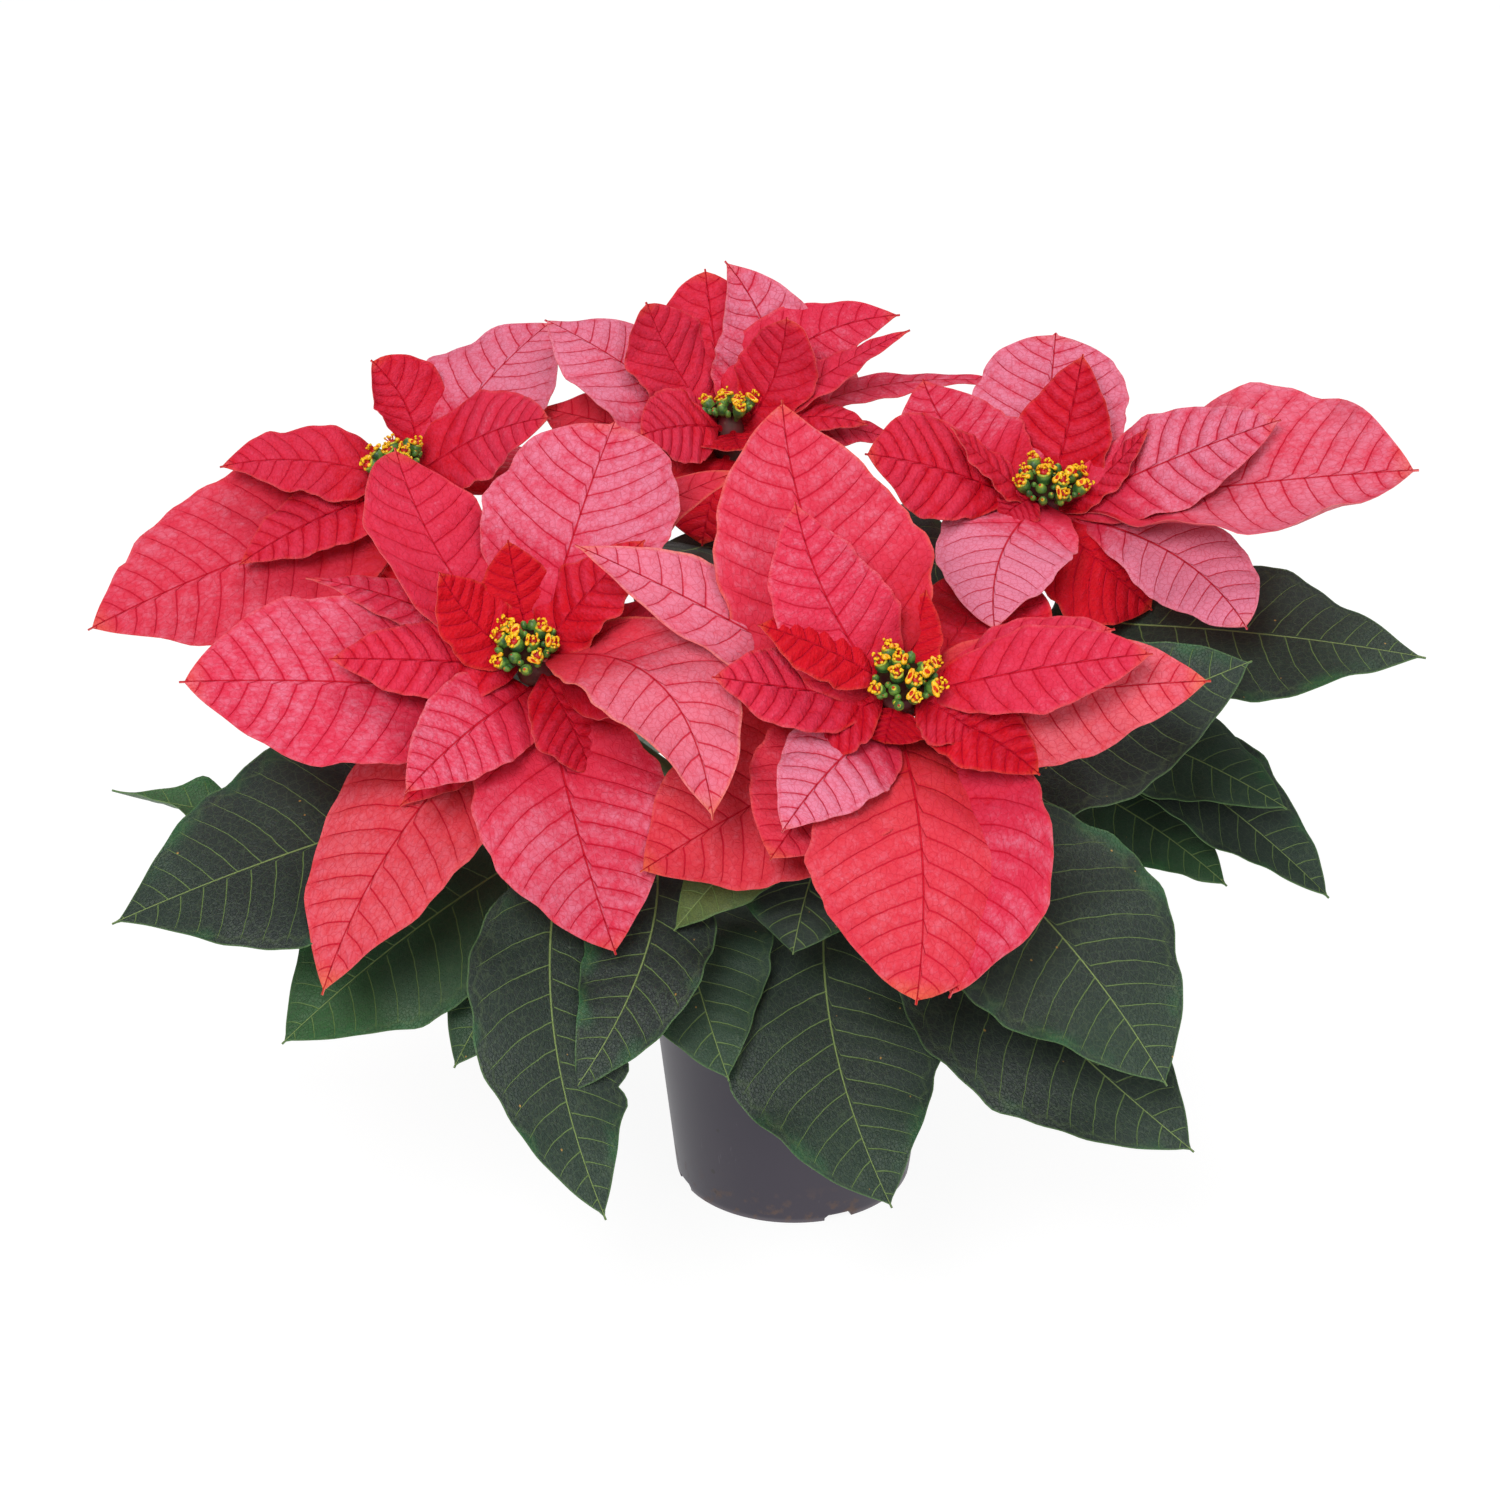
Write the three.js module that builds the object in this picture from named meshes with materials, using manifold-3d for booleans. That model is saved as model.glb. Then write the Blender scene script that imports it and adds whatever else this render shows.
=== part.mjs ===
// Potted poinsettia: a nursery pot with soil, a short woody stem with five leafy
// shoots, and on each shoot a head of red bracts round a cluster of small flowers.
// Millimetres, +Z up, the front towards -Y, origin at the centre of the pot's underside.

import * as THREE from 'three';
import { mergeVertices } from 'three/addons/utils/BufferGeometryUtils.js';
import Module from 'manifold-3d';

const wasm = await Module();
wasm.setup();
const { Manifold, Mesh } = wasm;
const rad = THREE.MathUtils.degToRad;

// ---- pot and soil ----
const POT_HEIGHT = 105;
const POT_FOOT_RADIUS = 44.5;
const POT_WALL_TOP_RADIUS = 55.3;
const POT_RIM_RADIUS = 58.5;
const POT_RIM_DEPTH = 8;
const POT_WALL = 1.4;
const POT_EDGE = 1;
const POT_RIM_EDGE = 0.6;
const POT_RIM_STEP = 1.2;
const POT_SIDES = 28;
const SLOT_COUNT = 4;
const SLOT_WIDTH = 11;
const SLOT_HEIGHT = 2.6;
const SLOT_DEPTH = 9;
const SLOT_FIRST_TURN = 292;
const SOIL_TOP = 92;
const SOIL_LUMP = 1.6;
const SOIL_SIDES = 20;
const SOIL_FOOT_EDGE = 3;
const SOIL_RING_SHARES = [0.76, 0.52, 0.3];
const HOLE_PAST_SOIL = 10;
const HOLE_SIDES = 16;
const GAP = 0.3;
const FUSING_TOLERANCE = 0.4;
const SAME_POINT = 1e-4;

// ---- stems ----
const MAIN_STEM_RADIUS = 6.5;
const MAIN_STEM_FOOT = 62;
const MAIN_STEM_TOP = 134;
const MAIN_STEM_TAPER = 0.6;
const MAIN_STEM_CROWN = 4;
const MAIN_STEM_SIDES = 12;
const SHOOT_RADIUS = 3.2;
const SHOOT_SIDES = 6;
const SHOOT_STEPS = 4;
const SHOOT_FOOT_OUT = 3;
const SHOOT_FOOT_RISE = 0.75;
const SHOOT_TOP_PULL = 0.45;
const SHOOT_FOOT_PULL = 0.3;
const TIP_RADIUS = 4.2;
const TIP_TOP_DROP = 4;
const TIP_FOOT_DROP = 38;

// ---- blades ----
const BLADE_THICKNESS = 0.8;
const STALK_THICKNESS = 2.2;
const STALK_HALF_WIDTH = 1.3;
const POINT_HALF_WIDTH = 0.7;
const POINT_START = 0.97;
const WIDE_BLADE = 54;
const WIDE_STATIONS = [0, 0.14, 0.36, 0.62, 0.84, 1];
const NARROW_STATIONS = [0, 0.18, 0.5, 0.8, 1];
const SMALL_BLADE = 34;
const SMALL_STATIONS = [0, 0.24, 0.66, 1];
const COLUMNS = [-1, 0, 1];
const RIB_STEP = 1e-3;
const RIPPLES = 2.5;
const RIPPLED_WIDTH = 60;
const RIGHT_EDGE_PHASE = 2.1;
const RIPPLE_FULL_SHARE = 1 / 3;
const LEAF_STALK_STATIONS = [0, 0.6];
const PLAIN_BLADE = {
  belly: 0.38, taper: 0.9, stalk: 6, arch: 0, sway: 0, fold: 0, curl: 0, twist: 0, wave: 2,
};

// ---- flowers ----
const CUP_SIDES = 3;
const CUP_FOOT = -1;
const CUP_RIM = 4;
const CUP_TIP = 6.4;
const CUP_FOOT_RADIUS = 1.4;
const CUP_RIM_RADIUS = 2.2;
const GLAND_REACH = 3.6;
const CLUSTER_DISC = [[0, 0], [0.5, 0], [1, 2.4], [0.85, 3.4], [0, 3.8]];
const CLUSTER_DISC_SHARE = 0.5;
const CLUSTER_SIDES = 10;
const CLUSTER_REACH = 0.82;
const CLUSTER_TURN = 137.5;
const FIRST_FLOWER = 0.4;
const FLOWER_STRAY = 0.3;
const FLOWER_LEAN = 1.1;
const FLOWER_RISE = 3.2;
const FLOWER_DROOP = 1.8;
const FLOWER_OUT = 0.74;
const FLOWER_SIZE = 0.95;
const FLOWER_SIZE_SPREAD = 0.3;

// ---- the view from the front ----
// What shows from the front is placed by where it is seen from there, in steps right of
// and down from the upper left corner of a square view of 1500 steps.
const VIEW_SIDE = 1500;
const VIEW_MIDDLE = VIEW_SIDE / 2;
const LENS_LENGTH = 100;
const SENSOR_SIDE = 36;
const VIEW_STEPS_DEEP = (VIEW_SIDE * LENS_LENGTH) / SENSOR_SIDE;
const VIEW_PITCH = 26;
const VIEW_DISTANCE = 1600;
const POT_FOOT_SEEN = [793, 1161];

function lineOfSight(right, down) {
  const ahead = new THREE.Vector3(0, Math.cos(rad(VIEW_PITCH)), -Math.sin(rad(VIEW_PITCH)));
  const above = new THREE.Vector3(0, Math.sin(rad(VIEW_PITCH)), Math.cos(rad(VIEW_PITCH)));
  const line = ahead.multiplyScalar(VIEW_STEPS_DEEP).addScaledVector(above, VIEW_MIDDLE - down);
  line.x += right - VIEW_MIDDLE;
  return line;
}

const viewer = lineOfSight(...POT_FOOT_SEEN).multiplyScalar(-VIEW_DISTANCE / VIEW_STEPS_DEEP);

// The point seen at a place of the view at a given height.
function seenAtHeight([right, down], height) {
  const line = lineOfSight(right, down);
  return viewer.clone().addScaledVector(line, (height - viewer.z) / line.z);
}

// The way from a blade's root to its point, where the point is seen at a place of the
// view and stands some way nearer to the viewer than the root.
function seen(right, down, toward) {
  return (root) => {
    const line = lineOfSight(right, down).normalize();
    const distance = root.clone().sub(viewer).dot(line) - toward;
    return viewer.clone().addScaledVector(line, distance).sub(root);
  };
}

function heading(turn, rise) {
  return new THREE.Vector3(
    Math.cos(rad(turn)) * Math.cos(rad(rise)),
    Math.sin(rad(turn)) * Math.cos(rad(rise)),
    Math.sin(rad(rise)),
  );
}

// The same way for a blade hidden from the front: compass turn, rise and length.
function aimed(turn, rise, length) {
  return () => heading(turn, rise).multiplyScalar(length);
}

// Flower heads: place in the view and height of the flower cluster's centre, lean from
// upright and its compass turn, height where the shoot leaves the main stem, number of
// flowers, cluster radius.
const heads = {
  a: { seen: [524, 645], height: 250, lean: 28, turn: 232, foot: 118, flowers: 12, spread: 17 },
  b: { seen: [903, 678], height: 250, lean: 28, turn: 282, foot: 126, flowers: 13, spread: 18 },
  c: { seen: [397, 455], height: 265, lean: 14, turn: 200, foot: 128, flowers: 9, spread: 15 },
  d: { seen: [729, 405], height: 280, lean: 8, turn: 110, foot: 120, flowers: 8, spread: 14 },
  e: { seen: [1050, 482], height: 265, lean: 12, turn: 300, foot: 114, flowers: 13, spread: 19.5 },
};

// Blades. The label's first letter names the shoot. Then: distance below the flower
// cluster where the blade leaves the shoot, the way to its point, its width, its roll
// about that way, and what differs from the plain blade.
const bracts = [
  ['a1', 12, seen(615, 422, -40), 71, 0, { belly: 0.56, taper: 0.55, stalk: 10, arch: 4, curl: 8 }],
  ['a2', 23, seen(395, 448, -34), 52, 4, { belly: 0.55, taper: 0.75, stalk: 8, arch: 3, sway: 11, curl: 12 }],
  ['a3', 13, seen(439, 572, 8), 30, -34, { belly: 0.45, arch: -4 }],
  ['a4', 12, seen(329, 659, 10), 31, -38, { belly: 0.42, arch: 1 }],
  ['a5', 30, seen(179, 682, 20), 66, -40, { belly: 0.55, taper: 0.85, stalk: 8, arch: 3, curl: 8 }],
  ['a6', 14, seen(306, 578, -20), 24, -20, { arch: 6, twist: 40 }],
  ['a7', 20, seen(405, 793, 38), 36, -36, { stalk: 8, arch: 4, curl: 10 }],
  ['a8', 8, seen(592, 776, 4), 36, -4, { belly: 0.5, arch: 3 }],
  ['a9', 24, seen(322, 995, 15), 59, -16, { belly: 0.42, stalk: 8, arch: 8, sway: -8, curl: 8 }],
  ['a10', 20, seen(616, 955, 22), 68, 6, { belly: 0.42, stalk: 8, arch: 6, sway: -4, curl: 8 }],
  ['a11', 22, seen(400, 806, 10), 24, -20, { stalk: 9 }],
  ['a12', 12, seen(508, 540, -10), 29, 0, { belly: 0.45, arch: -2 }],
  ['a13', 9, seen(645, 540, 0), 36, 10, { arch: 2, wave: 3 }],
  ['a14', 9, seen(713, 820, 50), 54, 10, { belly: 0.42, arch: 22, sway: 10, curl: 20 }],
  ['a15', 15, seen(735, 690, 5), 60, 20, { arch: 8 }],
  ['a16', 20, seen(745, 470, -40), 42, 0, { stalk: 9, arch: 4, sway: 20 }],
  ['b1', 14, seen(782, 400, -35), 75, -14, { belly: 0.38, stalk: 9, sway: 9, curl: 8 }],
  ['b2', 14, seen(795, 502, 0), 44, -28, { belly: 0.38, arch: 1, sway: 9 }],
  ['b3', 9, seen(758, 625, 14), 28, -30, { belly: 0.5, arch: 3 }],
  ['b4', 14, seen(712, 677, 24), 32, -40, { belly: 0.48 }],
  ['b5', 8, seen(800, 744, 4), 28, -30, { belly: 0.55, taper: 0.7, arch: 2 }],
  ['b6', 9, seen(885, 744, 5), 28, 0, { belly: 0.55, taper: 0.6, arch: 2 }],
  ['b7', 8, seen(977, 735, 6), 28, 25, { belly: 0.55, taper: 0.7, arch: 2 }],
  ['b8', 12, seen(1040, 775, 12), 30, 30, { belly: 0.45, arch: 4 }],
  ['b9', 24, seen(782, 832, 42), 38, -24, { stalk: 7, arch: 5 }],
  ['b10', 27, seen(770, 860, 36), 56, -22, { belly: 0.42, stalk: 8, arch: 4 }],
  ['b11', 22, seen(916, 1005, 36), 78, -4,
    { belly: 0.5, taper: 0.75, stalk: 8, arch: 8, sway: 5, curl: [-30, 8] }],
  ['b12', 26, seen(949, 998, 34), 60, 30,
    { belly: 0.48, taper: 0.8, stalk: 8, arch: 6, sway: 17, curl: 14, wave: 4 }],
  ['b13', 12, seen(1153, 654, 15), 34, 34, { belly: 0.52, arch: 2 }],
  ['b14', 22, seen(1211, 681, 10), 54, 42, { belly: 0.38, stalk: 8, arch: 2 }],
  ['b15', 16, seen(1115, 629, 0), 30, 24, { belly: 0.55, stalk: 8, arch: 3 }],
  ['b16', 26, seen(1014, 566, -100), 64, 0, { belly: 0.5, arch: 2 }],
  ['b17', 10, seen(926, 590, -15), 20, 0, { arch: -2 }],
  ['b18', 24, seen(575, 545, 10), 40, -36, { stalk: 8, arch: 3, curl: [30, 10] }],
  ['b19', 34, seen(640, 872, 10), 72, -34, { stalk: 8, arch: 2, curl: 8 }],
  ['c1', 14, seen(371, 360, -15), 36, 0, { belly: 0.6, taper: 0.7, arch: -3, sway: -10, curl: [60, 10] }],
  ['c2', 16, seen(552, 322, -32), 64, 0, { belly: 0.45, taper: 0.75, stalk: 8, arch: 6 }],
  ['c3', 12, seen(550, 418, 26), 42, 34, { arch: 3, sway: 6 }],
  ['c4', 13, seen(220, 467, 5), 40, -20, { arch: 4, sway: -5 }],
  ['c5', 22, seen(88, 630, 20), 70, -38, { belly: 0.4, stalk: 8, arch: 3, sway: -3 }],
  ['c6', 14, seen(239, 565, 18), 30, -30, { arch: 4 }],
  ['c7', 26, seen(262, 604, 5), 38, -42, { stalk: 9, arch: 6 }],
  ['c8', 12, seen(372, 597, -5), 50, -10, { arch: 4 }],
  ['c9', 20, aimed(105, -15, 85), 50, 0, { stalk: 9, arch: 8 }],
  ['c10', 24, aimed(65, -5, 90), 46, 0, { stalk: 9, arch: 8 }],
  ['d1', 15, seen(646, 302, -4), 48, 0, { belly: 0.6, taper: 0.65, arch: -4 }],
  ['d2', 18, seen(545, 320, -14), 60, -10, { belly: 0.38, stalk: 9, arch: 8, sway: 7 }],
  ['d3', 20, seen(705, 269, -35), 48, 0, { belly: 0.5, taper: 0.7, stalk: 8, arch: -2 }],
  ['d4', 22, seen(725, 261, -34), 48, 0, { arch: -3, sway: -16, curl: [40, 5] }],
  ['d5', 14, seen(787, 317, 0), 38, 10, { belly: 0.55, taper: 0.7, arch: -4, sway: -3 }],
  ['d6', 14, seen(900, 315, -30), 38, 30, { stalk: 8, arch: 8, sway: 12 }],
  ['d7', 15, seen(910, 330, 0), 22, 10, { arch: 3 }],
  ['d8', 18, seen(1016, 384, -30), 24, 0, { stalk: 9, arch: 6, sway: 14 }],
  ['d9', 10, seen(640, 436, 26), 32, -44, { belly: 0.5, arch: 3 }],
  ['d10', 8, seen(740, 450, 14), 38, 0, { belly: 0.5 }],
  ['d11', 14, seen(868, 425, 15), 30, 10, { arch: 6 }],
  ['d12', 12, seen(898, 441, 0), 30, 10, { arch: 5 }],
  ['d13', 17, seen(702, 546, 24), 54, 0, { stalk: 8, arch: 6 }],
  ['d14', 24, seen(539, 408, -10), 50, -20, { stalk: 4, arch: 6, sway: 8 }],
  ['d15', 24, aimed(60, 5, 95), 42, 0, { stalk: 10, arch: 8 }],
  ['d16', 24, aimed(110, 0, 90), 40, 0, { stalk: 10, arch: 8 }],
  ['e1', 13, seen(1419, 470, 15), 78, 40, { belly: 0.6, stalk: 8, arch: 2, curl: [4, 70], wave: 3.5 }],
  ['e2', 16, seen(1281, 420, 12), 42, 36, { belly: 0.5, arch: 2 }],
  ['e3', 13, seen(1247, 629, 44), 38, 28, { belly: 0.6, taper: 0.75, stalk: 7, arch: 4, sway: 12 }],
  ['e4', 8, seen(995, 631, 60), 50, -4, { stalk: 3, belly: 0.38, arch: 4, sway: -7 }],
  ['e5', 7, seen(1002, 519, 12), 22, -20, { belly: 0.5, arch: 3 }],
  ['e6', 14, seen(865, 454, 26), 46, -36, { belly: 0.62, stalk: 7, arch: 4 }],
  ['e7', 12, seen(951, 427, 14), 24, -10, { arch: -1 }],
  ['e8', 14, seen(923, 379, -26), 48, -25, { taper: 0.85, stalk: 8, arch: 1, sway: 10 }],
  ['e9', 16, seen(1083, 354, -17), 40, 0, { arch: -4, curl: 30 }],
  ['e10', 20, seen(1056, 333, -38), 58, 0, { belly: 0.56, taper: 0.55, stalk: 9, arch: 4 }],
  ['e11', 15, seen(1148, 429, 5), 24, 10, { arch: -3 }],
  ['e12', 12, seen(1092, 613, 2), 38, 20, { arch: 4, wave: 4 }],
  ['e13', 15, seen(1152, 610, 4), 52, 28, { belly: 0.45, stalk: 8, arch: 6, sway: -8 }],
  ['e14', 14, seen(1217, 525, -10), 26, 20, { stalk: 8, arch: 5 }],
  ['e15', 24, aimed(40, 5, 90), 46, 0, { stalk: 10, arch: 8 }],
  ['e16', 24, aimed(110, 0, 80), 38, 0, { stalk: 10, arch: 8 }],
];

const leaves = [
  ['a1', 70, seen(112, 924, 20), 80, -32, { belly: 0.4, taper: 1.15, stalk: 60, arch: 6 }],
  ['a2', 90, seen(282, 1044, 20), 72, -26, { belly: 0.45, stalk: 30, arch: 8 }],
  ['a3', 110, seen(454, 1068, 40), 50, -20, { stalk: 40, arch: 14 }],
  ['a4', 64, seen(606, 1220, 55), 57, -10, { belly: 0.38, stalk: 50, arch: 12, sway: -18 }],
  ['a5', 115, seen(729, 1081, 65), 62, 0, { belly: 0.38, stalk: 26, arch: 16, sway: -8 }],
  ['a6', 120, aimed(165, -30, 140), 66, 0, { stalk: 40, arch: 12 }],
  ['a7', 62, seen(112, 790, -26), 38, 6, { stalk: 60, arch: -14, sway: 6, curl: 30, wave: 6 }],
  ['a8', 84, seen(572, 1094, 66), 44, -4, { stalk: 40, arch: 14, sway: 20 }],
  ['b2', 90, aimed(250, -20, 68), 66, 0, { stalk: 20, arch: 14 }],
  ['b3', 42, seen(674, 931, 5), 36, -30, { stalk: 20, arch: 6 }],
  ['b4', 110, seen(892, 1208, 50), 84, 2, { belly: 0.38, stalk: 30, arch: 10, sway: -14 }],
  ['b5', 90, seen(1194, 1152, 35), 74, 30, { belly: 0.4, stalk: 40, arch: 2, sway: -8 }],
  ['b6', 60, seen(1167, 1086, 40), 80, 24, { belly: 0.4, stalk: 34, arch: 8, sway: 5 }],
  ['b7', 88, seen(1252, 661, 0), 62, 40, { belly: 0.42, stalk: 36, arch: 2, sway: -6, curl: [20, 0] }],
  ['c2', 62, aimed(300, -10, 95), 56, 0, { stalk: 30, arch: 8 }],
  ['c3', 80, aimed(150, -25, 150), 70, 0, { stalk: 42, arch: 14 }],
  ['c4', 104, aimed(110, -25, 150), 66, 0, { stalk: 40, arch: 12 }],
  ['d1', 58, aimed(240, 13, 95), 60, 0, { stalk: 30, arch: 8 }],
  ['d2', 72, aimed(100, -20, 150), 72, 0, { stalk: 42, arch: 14 }],
  ['d3', 92, aimed(60, -20, 150), 66, 0, { stalk: 40, arch: 12 }],
  ['d4', 112, aimed(130, -40, 140), 62, 0, { stalk: 40, arch: 12 }],
  ['d5', 46, aimed(332, -3, 104), 74, 0, { stalk: 16, arch: 8 }],
  ['d6', 40, aimed(262, -30, 84), 66, 0, { stalk: 12, arch: 8 }],
  ['e1', 60, seen(1426, 658, 25), 68, 22, { belly: 0.4, taper: 1.15, sway: -8, stalk: 40, arch: 8 }],
  ['e2', 90, seen(1287, 809, 25), 50, 20, { belly: 0.38, stalk: 34, arch: 8 }],
  ['e3', 110, seen(1227, 886, 15), 44, 20, { stalk: 40, arch: 10 }],
  ['e4', 80, seen(1329, 898, 5), 50, 20, { stalk: 50, arch: 10, fold: 15 }],
  ['e5', 78, aimed(200, 14, 84), 54, 0, { stalk: 26, arch: 8 }],
  ['e6', 70, aimed(40, -20, 150), 70, 0, { stalk: 42, arch: 14 }],
  ['e7', 96, aimed(75, -30, 145), 66, 0, { stalk: 40, arch: 12 }],
  ['e8', 64, seen(1200, 655, 22), 28, 20, { stalk: 16, arch: 8, curl: [60, 20], wave: 5 }],
];

const colours = {
  pot: 0x45424e,
  soil: 0x3a2b22,
  mainStem: 0x6a5a3c,
  leaf: 0x33492f,
  bract: 0xdb3a50,
  flower: 0x9fae3a,
};

// ---- small helpers ----
function randomFrom(seed) {
  let state = seed;
  return () => {
    state = (state * 1664525 + 1013904223) % 4294967296;
    return state / 4294967296;
  };
}

function solidFrom(points, faces) {
  const vertProperties = new Float32Array(points.flatMap((p) => [p.x, p.y, p.z]));
  const triVerts = new Uint32Array(faces.flat());
  return new Manifold(new Mesh({ numProp: 3, vertProperties, triVerts }));
}

function solidOf(geometry) {
  geometry.deleteAttribute('normal');
  geometry.deleteAttribute('uv');
  const merged = mergeVertices(geometry, SAME_POINT);
  return new Manifold(new Mesh({
    numProp: 3,
    vertProperties: new Float32Array(merged.attributes.position.array),
    triVerts: new Uint32Array(merged.index.array),
  }));
}

// Union of the pieces as one body: loose scraps and sealed hollows are dropped.
function fused(pieces) {
  const parts = Manifold.union(pieces).simplify(FUSING_TOLERANCE).decompose();
  parts.sort((p, q) => q.volume() - p.volume());
  return parts[0];
}

function node(name, solid, colour) {
  const mesh = solid.getMesh();
  const positions = new Float32Array(mesh.numVert * 3);
  for (let i = 0; i < mesh.numVert; i += 1) {
    positions.set(mesh.vertProperties.subarray(i * mesh.numProp, i * mesh.numProp + 3), i * 3);
  }
  const geometry = new THREE.BufferGeometry();
  geometry.setAttribute('position', new THREE.BufferAttribute(positions, 3));
  geometry.setIndex(new THREE.BufferAttribute(new Uint32Array(mesh.triVerts), 1));
  geometry.computeVertexNormals();
  const material = new THREE.MeshStandardMaterial({ color: colour, roughness: 0.6 });
  const result = new THREE.Mesh(geometry, material);
  result.name = name;
  return result;
}

// A solid of revolution about Z from [radius, height] pairs that start and end on the axis.
function turned(profile, sides) {
  const points = profile.map(([radius, height]) => new THREE.Vector2(radius, height));
  const geometry = new THREE.LatheGeometry(points, sides);
  geometry.rotateX(Math.PI / 2);
  return solidOf(geometry);
}

// A round bar along a curve between two distances from the curve's start.
function rod(curve, from, to, radiusAt, sides, steps) {
  const length = curve.getLength();
  const points = [];
  const faces = [];
  const side = new THREE.Vector3(0, 1, 0);
  for (let i = 0; i <= steps; i += 1) {
    const along = Math.min(1, (from + (to - from) * (i / steps)) / length);
    const centre = curve.getPointAt(along);
    const tangent = curve.getTangentAt(along);
    const across = new THREE.Vector3().crossVectors(side, tangent).normalize();
    const other = new THREE.Vector3().crossVectors(tangent, across);
    for (let j = 0; j < sides; j += 1) {
      const angle = (j / sides) * Math.PI * 2;
      const point = centre.clone();
      point.addScaledVector(across, Math.cos(angle) * radiusAt(i / steps));
      point.addScaledVector(other, Math.sin(angle) * radiusAt(i / steps));
      points.push(point);
    }
  }
  for (let i = 0; i < steps; i += 1) {
    for (let j = 0; j < sides; j += 1) {
      const a = i * sides + j;
      const b = i * sides + ((j + 1) % sides);
      faces.push([a, b, b + sides], [a, b + sides, a + sides]);
    }
  }
  for (let j = 1; j < sides - 1; j += 1) {
    const last = steps * sides;
    faces.push([0, j + 1, j], [last, last + j, last + j + 1]);
  }
  return solidFrom(points, faces);
}

// ---- shoots ----
// The curve runs from the flower cluster down to the main stem.
function shootCurve(head) {
  const top = seenAtHeight(head.seen, head.height);
  const axis = heading(head.turn, 90 - head.lean);
  const out = new THREE.Vector3(top.x, top.y, 0).normalize();
  const foot = out.clone().multiplyScalar(SHOOT_FOOT_OUT).setZ(head.foot);
  const length = top.distanceTo(foot);
  const leaving = out.clone().setZ(SHOOT_FOOT_RISE).normalize();
  return new THREE.CubicBezierCurve3(
    top,
    top.clone().addScaledVector(axis, -length * SHOOT_TOP_PULL),
    foot.clone().addScaledVector(leaving, length * SHOOT_FOOT_PULL),
    foot,
  );
}

const shoots = Object.fromEntries(Object.entries(heads).map(([key, head]) => [key, shootCurve(head)]));

// ---- blades ----
// Half width along the blade as a share of the widest. It ends a little before the tip,
// where a narrow point carries on.
function outlineShare(t, belly, taper) {
  const root = (taper * belly) / (1 - belly);
  const scale = belly ** root * (1 - belly) ** taper;
  const body = Math.min(1, t / POINT_START);
  return (body ** root * (1 - body) ** taper) / scale;
}

// Sideways and upward share of a half blade that leaves the rib at an angle and curls on.
function crossShare(v, foldAngle, curlAngle) {
  if (Math.abs(curlAngle) < SAME_POINT) {
    return [v * Math.cos(foldAngle), v * Math.sin(foldAngle)];
  }
  const end = foldAngle + curlAngle * v;
  return [
    (Math.sin(end) - Math.sin(foldAngle)) / curlAngle,
    (Math.cos(foldAngle) - Math.cos(end)) / curlAngle,
  ];
}

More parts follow.
